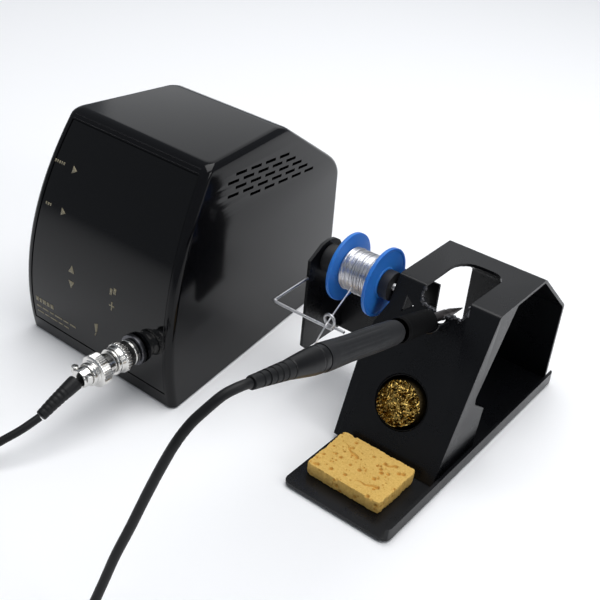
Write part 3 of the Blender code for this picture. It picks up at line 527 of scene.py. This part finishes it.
def marks():
    """All the printed marks, laid on the bow a hair in front of the plate."""
    shapes = dashes(-0.0560, 0.1197, (0.0016, 0.0011, 0.0014, 0.0010, 0.0013))
    shapes += dashes(-0.0540, 0.0944, (0.0013, 0.0015, 0.0010))
    shapes += [arrow(-0.0375, 0.1190, 0.0042, "right"), arrow(-0.0375, 0.0938, 0.0042, "right")]
    shapes += [arrow(-0.0222, 0.0622, 0.0050, "up"), arrow(-0.0216, 0.0526, 0.0050, "down")]
    shapes += [strip(0.0125, 0.0605, 0.0147, 0.0645), strip(0.0156, 0.0618, 0.0178, 0.0658)]
    shapes += [strip(0.0128, 0.0530, 0.0176, 0.0540), strip(0.0146, 0.0505, 0.0158, 0.0562)]
    shapes += [[(0.0000, 0.0338), (0.0034, 0.0352), (0.0022, 0.0282), (0.0006, 0.0276)],
               [(0.0006, 0.0270), (0.0018, 0.0272), (0.0002, 0.0246), (-0.0004, 0.0248)]]
    shapes += dashes(-0.0570, 0.0268, (0.0030, 0.0022, 0.0034, 0.0026, 0.0030), 0.0032, 0.0008)
    shapes += dashes(-0.0570, 0.0212, (0.0046, 0.0060, 0.0038, 0.0072, 0.0050, 0.0058), 0.0013, 0.0012)
    shapes += dashes(-0.0570, 0.0170, (0.0064, 0.0042, 0.0068, 0.0040, 0.0050), 0.0011, 0.0012)
    points, faces = [], []
    for shape in shapes:
        flat = np.array(shape)
        faces.append((len(points) + np.arange(len(flat))).tolist())
        points += np.stack([flat[:, 0], front_y(flat[:, 1]) + 0.00022, flat[:, 1]], 1).tolist()
    print_grey = finish("panel_print", (0.20, 0.175, 0.115), (0.5, 0.6), 200, 5000, 0.000002)
    obj = piece("panel_marks", np.array(points) + UNIT, faces, print_grey)
    wall = obj.modifiers.new("ink", "SOLIDIFY")
    wall.thickness, wall.offset = 0.00004, 0.0
    return placed(obj, slot="gloss_black", body=body_of["front_panel"])


front_plate()
marks()

# ---------------------------------------------------------------- panel socket and plug
# A round metal connector. The socket is fixed in the panel, and the plug's body, its knurled
# locking ring and its two-screw lead clamp are turned from nickel-plated brass.

SOCKET = Matrix.Translation(Vector(UNIT) + Vector((0.0375, float(front_y(0.034)), 0.034))) @ Matrix.Rotation(
    np.pi / 2, 4, "X")


def softened(profile, radius):
    """Profile whose corners are cut by small curves, so that each edge catches the light."""
    p = np.array(profile, float)
    points = [p[:1]]
    for before, here, after in zip(p[:-2], p[1:-1], p[2:]):
        if here[0] <= 1e-7:
            points.append(here[None])
            continue
        reach = [min(radius, 0.45 * np.linalg.norm(side - here)) for side in (before, after)]
        start, end = (here + (side - here) / max(np.linalg.norm(side - here), 1e-9) * r
                      for side, r in zip((before, after), reach))
        t = np.linspace(0, 1, 4)[:, None]
        points.append((1 - t) ** 2 * start + 2 * t * (1 - t) * here + t**2 * end)
    return np.vstack([*points, p[-1:]])


def lathe(name, profile, place, material, sides=64, corner=0.0003, relief=None, ring=False):
    """Turned piece: the profile's radius and height swept round the place's own Z. A relief adds
    to the radius as a function of height and angle."""
    if ring:
        profile = [*profile, profile[0]]
    rows = softened(profile, corner)
    angle = np.linspace(0, 2 * np.pi, sides, endpoint=False)[None, :]
    radius, height = rows[:, :1] + 0 * angle, rows[:, 1:] + 0 * angle
    if relief is not None:
        radius = np.where(radius > 1e-7, radius + relief(height, angle), radius)
    points = np.stack([radius * np.cos(angle), radius * np.sin(angle), height], -1).reshape(-1, 3)
    turn = np.array(place)
    return piece(name, points @ turn[:3, :3].T + turn[:3, 3], grid_faces(len(rows), sides), material, 38)


def window(value, low, high, edge):
    """1 between two limits and 0 outside them, eased over the edge."""
    return np.clip((value - low) / edge, 0, 1) * np.clip((high - value) / edge, 0, 1)


nickel = finish("plug_nickel", (0.62, 0.61, 0.59), (0.10, 0.28), 150, 3000, 0.000004, metallic=1.0)
# Partly painted shade: the socket's own dark flange, darkened further for the shade of the recess round the plug.
socket_shaded = finish("socket_nickel_shaded", (0.10, 0.10, 0.11), (0.2, 0.4), 150, 3000, 0.00001, metallic=1.0)


def plug():
    """The socket's flange and thread, then the plug's pieces in order out to the lead clamp."""
    thread = lambda h, a: 0.00016 * np.sin(h / 0.00016 + a) * window(h, 0.0032, 0.0098, 0.0004)
    flats = [(0.0056, 0.0100), *[(0.0060, h) for h in np.linspace(0.0098, 0.0032, 40)], (0.0098, 0.0030),
             (0.0100, 0.0004), (0.0070, 0.0004), (0.0070, -0.0120), (0.0056, -0.0120)]
    placed(lathe("panel_socket", flats, SOCKET, socket_shaded, 64, 0.00015, thread, True), "front_socket")
    teeth = lambda h, a: 0.00030 * np.sin(a * 30) * window(h, 0.0110, 0.0148, 0.0006)
    ring = [(0.0082, 0.0205), (0.0084, 0.0202), (0.0084, 0.0186), (0.0081, 0.0184), (0.0081, 0.0180),
            (0.0084, 0.0178), (0.0086, 0.0152), (0.0093, 0.0146), (0.0094, 0.0142), (0.0094, 0.0116),
            (0.0093, 0.0112), (0.0084, 0.0106), (0.0082, 0.0072), (0.0079, 0.0070), (0.0079, 0.0066),
            (0.0082, 0.0064), (0.0082, 0.0040), (0.0065, 0.0040), (0.0065, 0.0205)]
    placed(lathe("locking_ring", ring, SOCKET, nickel, 180, 0.0002, teeth, True), "plug_locking_ring")
    knurl = lambda h, a: 0.00022 * np.sin(a * 44) * window(h, 0.0272, 0.0338, 0.0005)
    body = [(0, 0.0384), (0.0070, 0.0384), (0.0072, 0.0380), (0.0072, 0.0362), (0.0068, 0.0360),
            (0.0068, 0.0354), (0.0074, 0.0352), (0.0076, 0.0345), (0.0086, 0.0343), (0.0098, 0.0336),
            (0.0099, 0.0330), (0.0099, 0.0280), (0.0098, 0.0274), (0.0088, 0.0269), (0.0068, 0.0265),
            (0.0068, 0.0208), (0.0060, 0.0208), (0.0060, 0.0104), (0, 0.0104)]
    placed(lathe("plug_shell", body, SOCKET, nickel, 176, 0.0002, knurl), "plug_body")


def plug_clamp():
    """Split collar with an ear on each side and a screw through each pair of ears."""
    obj = lathe("lead_clamp", [(0, 0.0445), (0.0054, 0.0445), (0.0058, 0.0430), (0.0060, 0.0400),
                               (0.0062, 0.0387), (0, 0.0387)], SOCKET, nickel, 64)
    placed(obj, "plug_clamp")
    ear = [(0, 0.0022), (0.0021, 0.0022), (0.0021, -0.0022), (0, -0.0022)]
    screw = [(0, 0.0006), (0.0010, 0.0010), (0.0014, 0.0006), (0.0015, -0.0002), (0, -0.0002)]
    for side, word in ((-1, "left"), (1, "right")):
        for kind, profile, y, sides, corner in (("ear", ear, 0.0028, 40, 0.0005), ("screw", screw, 0.0005, 28, 0.0002)):
            place = SOCKET @ Matrix.Translation((side * 0.0064, y, 0.0416)) @ Matrix.Rotation(np.pi / 2, 4, "X")
            turned = lathe(f"clamp_{kind}_{word}", profile, place, nickel, sides, corner)
            placed(turned, slot="nickel", body=body_of["plug_clamp"])


def plug_boot():
    """Tapered rubber boot that starts thick at the clamp and steps down to the lead."""
    path = smooth_route([(-0.0425, -0.1096, 0.0336), (-0.0425, -0.1130, 0.0325), (-0.0425, -0.1240, 0.0284),
                         (-0.0427, -0.1353, 0.0232)], 0.0006) + LAYOUT
    share = np.linspace(0, 1, len(path))
    radius = 0.0048 - 0.00144 * share
    radius = radius - 0.00025 * (np.sin(share * 60) > 0.7) * (share > 0.25) * (share < 0.9)
    radius[0], radius[-1] = radius[0] - 0.0004, radius[-1] - 0.0003
    return placed(tube("plug_boot_rubber", path, radius, rubber, 32), "plug_boot")


plug()
plug_clamp()
plug_boot()

# ---------------------------------------------------------------- back, foot and inside of the unit
# Moulded back panel with its mains inlet, rocker and fuse carrier, a screwed base plate on rubber
# feet, and inside it the transformer, the control board and the boards behind the front.


def refined(node, material, edge=0.0002, segments=2, sharp=30):
    """Copy of a frame piece with its doubles merged, flat faces joined and every edge rounded."""
    bm = bmesh.new()
    bm.from_mesh(frame["nodes"][node].data)
    bmesh.ops.remove_doubles(bm, verts=bm.verts, dist=1e-5)
    bmesh.ops.dissolve_limit(bm, angle_limit=np.radians(1.0), verts=bm.verts, edges=bm.edges)
    mesh = bpy.data.meshes.new(node + "_shape")
    bm.to_mesh(mesh)
    bm.free()
    mesh.materials.clear()
    mesh.materials.append(material)
    obj = bpy.data.objects.new(node + "_shape", mesh)
    scene.collection.objects.link(obj)
    if edge:
        bevel = obj.modifiers.new("edge", "BEVEL")
        bevel.width, bevel.segments, bevel.limit_method = edge, segments, "ANGLE"
        bevel.angle_limit, bevel.use_clamp_overlap = np.radians(25), True
    mesh.shade_smooth()
    mesh.set_sharp_from_angle(angle=np.radians(sharp))
    return placed(obj, node)


matt = finish("unit_matt_black", (0.008, 0.008, 0.009), (0.5, 0.68), 60, 2600, 0.00003)
steel = finish("bright_steel", (0.42, 0.42, 0.43), (0.22, 0.42), 120, 3000, 0.000006, metallic=1.0)
board = finish("board_green", (0.012, 0.085, 0.035), (0.3, 0.5), 160, 1200, 0.00001,
               second=(0.02, 0.16, 0.06))
laminations = finish("core_steel", (0.10, 0.10, 0.11), (0.4, 0.6), 60, 5000, 0.00004, metallic=0.8)
tape = finish("winding_tape_amber", (0.42, 0.25, 0.05), (0.35, 0.5), 90, 1500, 0.00002)
for node in ("back_panel", "base_plate", "rocker_frame", "rocker", "fuse_cap", "mains_inlet",
             "display_module"):
    refined(node, matt, 0.0004)
for node in ("base_screw_1", "base_screw_2", "base_screw_3", "base_screw_4", "socket_nut", "bracket_screw",
             "filter_capacitor", "transformer_bolt_1", "transformer_bolt_2", "reel_axle"):
    refined(node, steel, 0.00015)
for node in ("foot_1", "foot_2", "foot_3", "foot_4",
             "stand_pad_1", "stand_pad_2", "stand_pad_3", "stand_pad_4"):
    refined(node, rubber, 0.0004)
for node in ("touch_board", "control_board"):
    refined(node, board, 0.0001)
refined("transformer_core", laminations, 0.0003)
refined("transformer_winding", tape, 0.0008)

# ---------------------------------------------------------------- stand
# Folded steel sheet in satin black powder paint: a long tray with its right edge turned up, and
# a frame spot-welded on it whose slope and top carry the iron. The paint is worn off at the notch.

STAND = Matrix.Translation((0.0756, -0.0622, 0.0)) @ Matrix.Rotation(np.radians(1.1), 4, "Z")
MIDDLE_X = 0.0325
paint = finish("stand_satin_paint", (0.0028, 0.0030, 0.0038), (0.24, 0.34), 50, 1500, 0.000010, shine=0.28)
for node in ("stand_base", "stand_frame", "reel_bracket", "holder_cradle"):
    refined(node, paint, 0.0007, 3)



def slope_point(z):
    """How far back the stand's slope lies at a height."""
    return 0.0527 + (z - 0.0035) * 0.49947


def worn_edge():
    """Burr round the notch's lower half, where the hot barrel has eaten the paint away: a bar
    whose radius and line wander by a few sums of sines."""
    u = np.linspace(0, 1, 150)
    corners = np.array([(0.0176, 0.0958), (0.0178, 0.0900), (0.0205, 0.0872), (0.0270, 0.0868), (0.0300, 0.0850),
                        (0.0325, 0.0843), (0.0350, 0.0850), (0.0385, 0.0869), (0.0450, 0.0873), (0.0474, 0.0900),
                        (0.0477, 0.0958)])
    place = np.linspace(0, 1, len(corners))
    x, z = np.interp(u, place, corners[:, 0]), np.interp(u, place, corners[:, 1])
    z = z + 0.0005 * np.sin(u * 61) + 0.0004 * np.sin(u * 147 + 1)
    x = x + 0.0003 * np.sin(u * 83)
    radius = 0.0009 + 0.0003 * np.sin(u * 97) + 0.0002 * np.sin(u * 211 + 2)
    radius[0], radius[-1] = 0.0004, 0.0004
    turn = np.array(STAND)
    path = np.stack([x, slope_point(z) + 0.0004, z], 1) @ turn[:3, :3].T + turn[:3, 3]
    scorched = finish("scorched_edge", (0.012, 0.012, 0.014), (0.2, 0.5), 260, 1500, 0.0002, metallic=0.6,
                      second=(0.10, 0.10, 0.11))
    placed(tube("notch_burr", path, radius, scorched, 12), slot="satin_black_paint", body=body_of["stand_frame"])


worn_edge()

# ---------------------------------------------------------------- cleaning sponge
# Dry pressed cellulose, cut by hand, so its outline is uneven and its skin is full of pores of
# all sizes and a few tears. It lies loose on the tray.


def sponge():
    """Rounded block: a superellipse outline at each height, drawn in over the top, less a round
    pit at each pore and a groove along each tear."""
    rng = np.random.default_rng(7)
    around, up = np.linspace(0, 2 * np.pi, 440, endpoint=False), 20
    half_x, half_y, high, low_z = 0.0252, 0.0187, 0.0079, 0.0038
    side = np.linspace(0, 1, up)
    top = np.linspace(1, 0.01, 110)[1:]
    scale = np.concatenate([[0.01], np.linspace(0.3, 0.985, 6), 0.985 + 0.015 * np.sin(np.pi * side),
                            top * 0.985])
    height = np.concatenate([np.zeros(7), high * (0.5 - 0.5 * np.cos(np.pi * side)), high + 0 * top])
    power = 0.05
    c, s = np.cos(around), np.sin(around)
    reach = (np.abs(c) ** (2 / power / 2) + np.abs(s) ** (2 / power / 2)) ** (-power)
    waves = ((3, 1.0), (7, 2.2), (13, 0.4), (29, 3.3), (47, 1.9), (71, 0.7))
    ragged = 1 + sum(0.005 * np.sin(around * k + p) for k, p in waves)
    x = half_x * reach * c * ragged * scale[:, None]
    y = half_y * reach * s * ragged * scale[:, None]
    z = height[:, None] + 0 * x
    points = np.stack([x, y, z], -1)
    pits = np.stack([rng.uniform(-half_x, half_x, 420), rng.uniform(-half_y, half_y, 420),
                     np.full(420, high)], 1)
    edge = rng.choice(len(around), 260)
    skirt = np.stack([half_x * reach[edge] * c[edge], half_y * reach[edge] * s[edge],
                      rng.uniform(0.0005, high, 260)], 1)
    pits = np.vstack([pits, skirt])
    size = 0.00030 + 0.0013 * rng.random(len(pits)) ** 7
    tears = [((-0.019, 0.010), (-0.006, 0.004)), ((0.004, -0.012), (0.016, -0.009)),
             ((0.008, 0.009), (0.015, 0.013))]
    for start, end in tears:
        run = np.linspace(0, 1, 26)[:, None]
        line = np.array(start) * (1 - run) + np.array(end) * run
        line[:, 1] += 0.0006 * np.sin(run[:, 0] * 9)
        pits = np.vstack([pits, np.column_stack([line, np.full(26, high)])])
        size = np.concatenate([size, np.linspace(0.0004, 0.0013, 26)])
    flat = points.reshape(-1, 3)
    depth = np.zeros(len(flat))
    for block in np.array_split(np.arange(len(pits)), 40):
        far = np.linalg.norm(flat[:, None] - pits[None, block], axis=2) / size[None, block]
        depth = np.maximum(depth, (size[None, block] * np.clip(1 - far**2, 0, 1)).max(1))
    inward = -flat / np.array([half_x, half_y, high]) ** 2
    inward[:, 2] = np.where(flat[:, 2] > 0.95 * high, -1.0 / high, 0.0)
    inward[:, :2] *= (flat[:, 2:] < 0.98 * high)
    inward /= np.linalg.norm(inward, axis=1)[:, None] + 1e-9
    flat = flat + inward * (1.2 * depth * (flat[:, 2] > 0.0002))[:, None]
    flat[:, 2] += 0.00025 * np.sin(flat[:, 0] * 210) * np.sin(flat[:, 1] * 170) * (flat[:, 2] > 0.9 * high)
    flat[:, 2] = np.clip(flat[:, 2], 0, high)
    turn = np.array(STAND @ Matrix.Translation((0.0312, 0.0322, low_z)))
    flat = flat @ turn[:3, :3].T + turn[:3, 3]
    cellulose = finish("sponge_cellulose", (0.58, 0.33, 0.065), (0.85, 0.98), 160, 900, 0.0004,
                       second=(0.82, 0.56, 0.17))
    nodes, links = cellulose.node_tree.nodes, cellulose.node_tree.links
    # Painted shade: the skin's colour is multiplied down in each pit and tear, the more the deeper it is.
    hollow, shade = nodes.new("ShaderNodeAttribute"), nodes.new("ShaderNodeMix")
    hollow.attribute_name, shade.data_type, shade.blend_type = "hollow", "RGBA", "MULTIPLY"
    shade.inputs["B"].default_value = (0.88, 0.74, 0.52, 1)
    skin = nodes["Principled BSDF"].inputs["Base Color"]
    links.new(skin.links[0].from_socket, shade.inputs["A"])
    links.new(hollow.outputs["Fac"], shade.inputs["Factor"])
    links.new(shade.outputs["Result"], skin)
    obj = piece("cleaning_sponge", flat, grid_faces(len(scale), len(around), ends=True), cellulose, 60,
                hollow=np.clip(depth / 0.0008, 0, 1))
    return placed(obj, "sponge")


sponge()

# ---------------------------------------------------------------- brass wool and its cup
# Curled brass turnings pushed into a pressed steel cup behind the slope's round hole. They bulge
# out of the hole, most of all low down, and glint where the ribbons turn.

WOOL = STAND @ Matrix.Translation((0.0303, 0.06883, 0.0358)) @ Matrix.Rotation(np.radians(63.46), 4, "X")
cup = [(0, -0.0200), (0.0152, -0.0200), (0.0160, -0.0004), (0.0166, -0.0004), (0.0166, -0.0023),
       (0.0196, -0.0023), (0.0196, -0.0033), (0.0166, -0.0033), (0.0160, -0.0210), (0, -0.0210)]
placed(lathe("wool_cup_pressed", cup, WOOL, paint, 72, 0.0003), "wool_cup")


def wool():
    """A dome of painted shade, dark as the shade deep among the turnings, and ribbons over it: each
    is a helix along a curved line on the dome, with a thin three-sided section."""
    rng = np.random.default_rng(11)
    brass = finish("wool_brass", (0.24, 0.15, 0.03), (0.16, 0.36), 400, 3000, 0.00001, metallic=1.0,
                   second=(0.80, 0.56, 0.17))
    # Painted shade: a dark brown metal dome stands for the shade deep inside the heap of turnings.
    shade_core = finish("wool_shade", (0.03, 0.02, 0.006), (0.4, 0.6), 300, 900, 0.0004, metallic=0.8)
    dome = [(0, 0.0035), (0.0070, 0.0026), (0.0120, 0.0006), (0.0142, -0.0040), (0.0140, -0.0150), (0, -0.0190)]
    placed(lathe("wool_shade_core", dome, WOOL, shade_core, 48, 0.001), slot="brass_wool", body=body_of["brass_wool"])
    count, steps = 640, 18
    spread = 0.0136 * np.sqrt(rng.random((count, 1)))
    where = rng.uniform(0, 2 * np.pi, (count, 1))
    t = np.linspace(0, 1, steps)[None, :]
    heading = rng.uniform(0, 2 * np.pi, (count, 1)) + rng.normal(0, 2.2, (count, 1)) * t
    run = rng.uniform(0.003, 0.009, (count, 1))
    x = spread * np.cos(where) + run * np.cumsum(np.cos(heading), 1) / steps
    y = spread * np.sin(where) + run * np.cumsum(np.sin(heading), 1) / steps
    curl, phase = rng.uniform(0.0005, 0.0021, (count, 1)), rng.uniform(0, 7, (count, 1))
    turns = rng.uniform(4, 16, (count, 1))
    x = x + curl * np.cos(phase + turns * t) * -np.sin(heading)
    y = y + curl * np.cos(phase + turns * t) * np.cos(heading)
    out = np.hypot(x, y)
    shrink = np.where(out > 0.0132, 0.0132 / np.maximum(out, 1e-6), 1.0)
    x, y, out = x * shrink - 0.0012, y * shrink - 0.0010, out * shrink
    lift = 0.0046 - 0.0060 * (out / 0.0146) ** 3 - 0.0010 * y / 0.0146
    z = np.minimum(lift + curl * np.sin(phase + turns * t), 0.0058)
    path = np.stack([x, y, z], -1)
    along = np.gradient(path, axis=1)
    along /= np.linalg.norm(along, axis=2)[..., None] + 1e-9
    lean = rng.normal(0, 1, (count, 1, 3))
    wide = np.cross(along, lean)
    wide /= np.linalg.norm(wide, axis=2)[..., None] + 1e-9
    thin = np.cross(along, wide)
    half = rng.uniform(0.00012, 0.00050, (count, 1, 1)) * (0.4 + 0.6 * np.sin(np.pi * t))[..., None]
    rings = np.stack([path + half * wide, path - half * wide, path + 0.25 * half * thin], 2)
    points = rings.reshape(-1, 3)
    turn = np.array(WOOL)
    points = points @ turn[:3, :3].T + turn[:3, 3]
    one = np.array([[(3 * s + k, 3 * s + (k + 1) % 3, 3 * s + 3 + (k + 1) % 3, 3 * s + 3 + k) for k in range(3)]
                    for s in range(steps - 1)]).reshape(-1, 4)
    faces = (one[None] + 3 * steps * np.arange(count)[:, None, None]).reshape(-1, 4).tolist()
    obj = piece("brass_turnings", points, faces, brass, 50)
    return placed(obj, "brass_wool")


wool()

# ---------------------------------------------------------------- iron and its holder
# A slim pencil iron with a fluted rubber grip, a moulded rear shell and a tapered strain relief.
# Its front lies in a black funnel, with the hot barrel through the notch of the stand.

IRON = (STAND @ Matrix.Translation((MIDDLE_X, 0.0461, 0.0979))
        @ Matrix.Rotation(np.pi / 2 - np.radians(14.86), 4, "X"))
dull = finish("holder_dull_black", (0.0012, 0.0012, 0.0014), (0.6, 0.8), 90, 2600, 0.00003, shine=0.08)
funnel = [(0.0070, -0.0010), (0.0074, -0.0026), (0.0070, -0.0050), (0.0068, -0.0160), (0.0066, -0.0240),
          (0.0064, -0.0340), (0.0056, -0.0340), (0.0058, -0.0200), (0.0062, -0.0030), (0.0064, -0.0010)]
placed(lathe("holder_funnel", funnel, IRON, dull, 72, 0.0004, ring=True), "iron_holder")


def iron():
    """Turned pieces from the tip to the strain relief. The grip's flutes are a cosine round it,
    faded out towards both ends."""
    tip = [(0, -0.0563), (0.0024, -0.0563), (0.0024, -0.0620), (0.0019, -0.0650), (0.0004, -0.0780),
           (0, -0.0782)]
    heated = finish("heated_steel", (0.11, 0.10, 0.10), (0.35, 0.55), 200, 3000, 0.00001, metallic=1.0)
    placed(lathe("iron_tip_plated", tip, IRON, heated, 40, 0.0003), "iron_tip")
    placed(lathe("iron_tube", [(0, -0.0113), (0.0028, -0.0113), (0.0028, -0.0560), (0, -0.0560)], IRON, heated, 48,
                 0.0003), "iron_barrel")
    nut_teeth = lambda h, a: 0.00012 * np.sin(a * 36) * window(h, -0.0090, -0.0020, 0.0006)
    placed(lathe("iron_nut", [(0, -0.0003), (0.0040, -0.0003), (0.0042, -0.0010), (0.0043, -0.0096),
                              (0.0034, -0.0110), (0, -0.0110)], IRON, nickel, 144, 0.0002, nut_teeth), "barrel_nut")
    flutes = lambda h, a: -0.00024 * (0.5 + 0.5 * np.cos(a * 14)) ** 2 * window(h, 0.0190, 0.0680, 0.005)
    outer = [(0.0072, 0.0730), (0.0074, 0.0715), (0.0074, 0.0660), (0.0071, 0.0560), (0.0070, 0.0480),
             (0.0071, 0.0360), (0.0072, 0.0250), (0.0071, 0.0180), (0.0070, 0.0140), (0.0069, 0.0060),
             (0.0064, 0.0025), (0.0054, 0.0005), (0.0048, 0.0), (0.0036, 0.0), (0.0036, 0.0730)]
    grip_rubber = finish("grip_rubber", (0.008, 0.0083, 0.0095), (0.5, 0.66), 120, 3500, 0.00002, shine=0.3)
    placed(lathe("grip_fluted", outer, IRON, grip_rubber, 144, 0.0005, flutes, True), "iron_grip")
    groove = [(0, 0.0990), (0.0046, 0.0990), (0.0050, 0.0984), (0.0056, 0.0930), (0.0064, 0.0860), (0.0069, 0.0808),
              (0.0070, 0.0790), (0.0068, 0.0786), (0.0068, 0.0780), (0.0070, 0.0776), (0.0070, 0.0733),
              (0.0033, 0.0733), (0.0033, 0.0010), (0, 0.0010)]
    shell_black = finish("handle_black", (0.003, 0.003, 0.0035), (0.3, 0.45), 80, 2500, 0.00001, shine=0.25)
    placed(lathe("handle_shell", groove, IRON, shell_black, 72, 0.0004), "iron_handle")
    rings = lambda h, a: -0.0004 * (np.sin((h - 0.0993) * 1500) > 0.35) * window(h, 0.1030, 0.1240, 0.0003)
    taper = [(0.0033 + 0.0015 * k / 60, 0.1266 - 0.0270 * k / 60) for k in range(1, 60)]
    sleeve = [(0, 0.1270), (0.0030, 0.1270), (0.0033, 0.1266), *taper, (0.0048, 0.0993), (0, 0.0993)]
    placed(lathe("strain_relief", sleeve, IRON, rubber, 48, 0.00005, rings), "iron_boot")


iron()

# ---------------------------------------------------------------- solder reel
# Moulded blue reel on a steel axle between two plain black hubs. Solder wire is wound on it in
# uneven turns, and its end runs forward through the eye of a bent wire guide.

REEL = STAND @ Matrix.Translation((0, 0.0980, 0.0875)) @ Matrix.Rotation(np.pi / 2, 4, "Y")
REEL_LEFT, REEL_RIGHT, FLANGE, REEL_RADIUS = -0.0362, -0.0084, 0.0022, 0.0217


def reel():
    """The reel's section swept round its axle: two flanges with a raised rim and a barrel."""
    blue = finish("reel_blue", (0.022, 0.15, 0.52), (0.28, 0.42), 60, 1500, 0.00001, shine=0.3,
                  second=(0.03, 0.19, 0.60))
    shader = blue.node_tree.nodes["Principled BSDF"]
    shader.inputs["Subsurface Weight"].default_value = 0.35
    shader.inputs["Subsurface Radius"].default_value = (0.0008, 0.0015, 0.004)
    shader.inputs["Subsurface Scale"].default_value = 1.0
    left, right, edge, web = REEL_LEFT + FLANGE, REEL_RIGHT - FLANGE, REEL_RADIUS, 0.0006
    section = [(edge, REEL_RIGHT), (edge, right), (0.0085, right), (0.0085, left), (edge, left), (edge, REEL_LEFT),
               (edge - 0.0012, REEL_LEFT), (edge - 0.0018, REEL_LEFT + web), (0.0098, REEL_LEFT + web),
               (0.0094, REEL_LEFT), (0.0028, REEL_LEFT), (0.0028, REEL_RIGHT), (0.0094, REEL_RIGHT),
               (0.0098, REEL_RIGHT - web), (edge - 0.0018, REEL_RIGHT - web), (edge - 0.0012, REEL_RIGHT)]
    placed(lathe("reel_moulding", section, REEL, blue, 96, 0.0003, ring=True), "solder_reel")
    for name, low, high in (("hub_outer", -0.0500, REEL_LEFT - 0.0003),
                            ("hub_inner", REEL_RIGHT + 0.0003, -0.0020)):
        section = [(0.0090, high), (0.0090, low), (0.0028, low), (0.0028, high)]
        placed(lathe(name + "_turned", section, REEL, matt, 64, 0.0006, ring=True), name)


def winding():
    """Wire round the barrel: a helix whose step and radius wander a little, then a few turns that
    cross back over it."""
    solder = finish("solder_wire", (0.62, 0.62, 0.64), (0.26, 0.46), 300, 2500, 0.00001, metallic=1.0)
    left, right, wire = REEL_LEFT + FLANGE + 0.0008, REEL_RIGHT - FLANGE - 0.0008, 0.0005
    turns = 21
    angle = np.arange(0, turns, 1 / 36) * 2 * np.pi
    share = angle / angle[-1]
    z = left + (right - left) * (share + 0.010 * np.sin(share * 37) + 0.006 * np.sin(share * 91)) * 0.985
    z = z + 0.00035 * np.sin(angle + 2 * np.sin(angle * 0.13))
    radius = 0.01275 + 0.00040 * np.sin(angle * 0.37) + 0.00020 * np.sin(angle * 0.91 + 1)
    back = np.arange(0, 7, 1 / 36) * 2 * np.pi
    back_share = back / back[-1]
    z = np.concatenate([z, right + (left - right) * (0.03 + 0.62 * back_share + 0.012 * np.sin(back_share * 23))])
    radius = np.concatenate([radius, np.minimum(0.01285 + 0.00075 * np.clip(back_share * 30, 0, 1), 0.0132)
                             + 0 * back])
    angle = np.concatenate([angle, angle[-1] + 2 * np.pi / 36 + back])
    path = np.stack([radius * np.cos(angle), radius * np.sin(angle), z], 1)
    turn = np.array(REEL)
    obj = tube("wound_solder", path @ turn[:3, :3].T + turn[:3, 3], wire, solder, 6)
    placed(obj, "solder_winding")
    under = [(0.0129, right + 0.0005), (0.0127, (left + right) / 2), (0.0129, left - 0.0005),
             (0.0088, left - 0.0005), (0.0088, right + 0.0005)]
    layers = lambda h, a: 0.00018 * np.sin(h * 2 * np.pi / 0.00105 + a) * (h > left) * (h < right)
    rows = [(0.0126, h) for h in np.linspace(right + 0.0005, left - 0.0005, 120)]
    obj = lathe("solder_layers", [*rows, *under[3:]], REEL, solder, 48, 0.0001, layers, True)
    placed(obj, slot="solder", body=body_of["solder_winding"])
    return solder


def in_stand(points):
    """Points in the stand's own frame, put in their place."""
    turn = np.array(STAND)
    return np.asarray(points, float) @ turn[:3, :3].T + turn[:3, 3]


def guide_and_strand(solder):
    """Bent wire with a loop for an eye, and the solder's loose end, which runs through the eye."""
    wire_x, eye_x, eye_radius, bar_y, bar_z = -0.0513, -0.0118, 0.0038, 0.0468, 0.0788
    angle = np.linspace(0, 2 * np.pi, 25) - np.pi / 2
    loop = np.stack([eye_x + eye_radius * np.cos(angle), bar_y + 0.0024 * np.linspace(0, 1, 25),
                     bar_z + eye_radius * (1 + np.sin(angle))], 1)
    wire = np.vstack([[(wire_x, 0.0797, bar_z + 0.001), (wire_x, 0.0520, bar_z), (wire_x + 0.0008, 0.0485, bar_z),
                       (wire_x + 0.0035, bar_y, bar_z)], loop, [(-0.0020, bar_y + 0.0024, bar_z)]])
    placed(tube("guide_bent_wire", smooth_route(in_stand(wire), 0.0008), 0.0009, steel, 14), "guide_wire")
    strand = smooth_route(in_stand([(-0.0215, 0.0830, 0.0850), (-0.0170, 0.0660, 0.0838), (-0.0125, 0.0490, 0.0826),
                                    (-0.0118, 0.0430, 0.0795), (-0.0135, 0.0400, 0.0720),
                                    (-0.0160, 0.0400, 0.0640)]), 0.0010)
    placed(tube("strand_end", strand, 0.0005, solder, 10), "solder_strand")


reel()
guide_and_strand(winding())
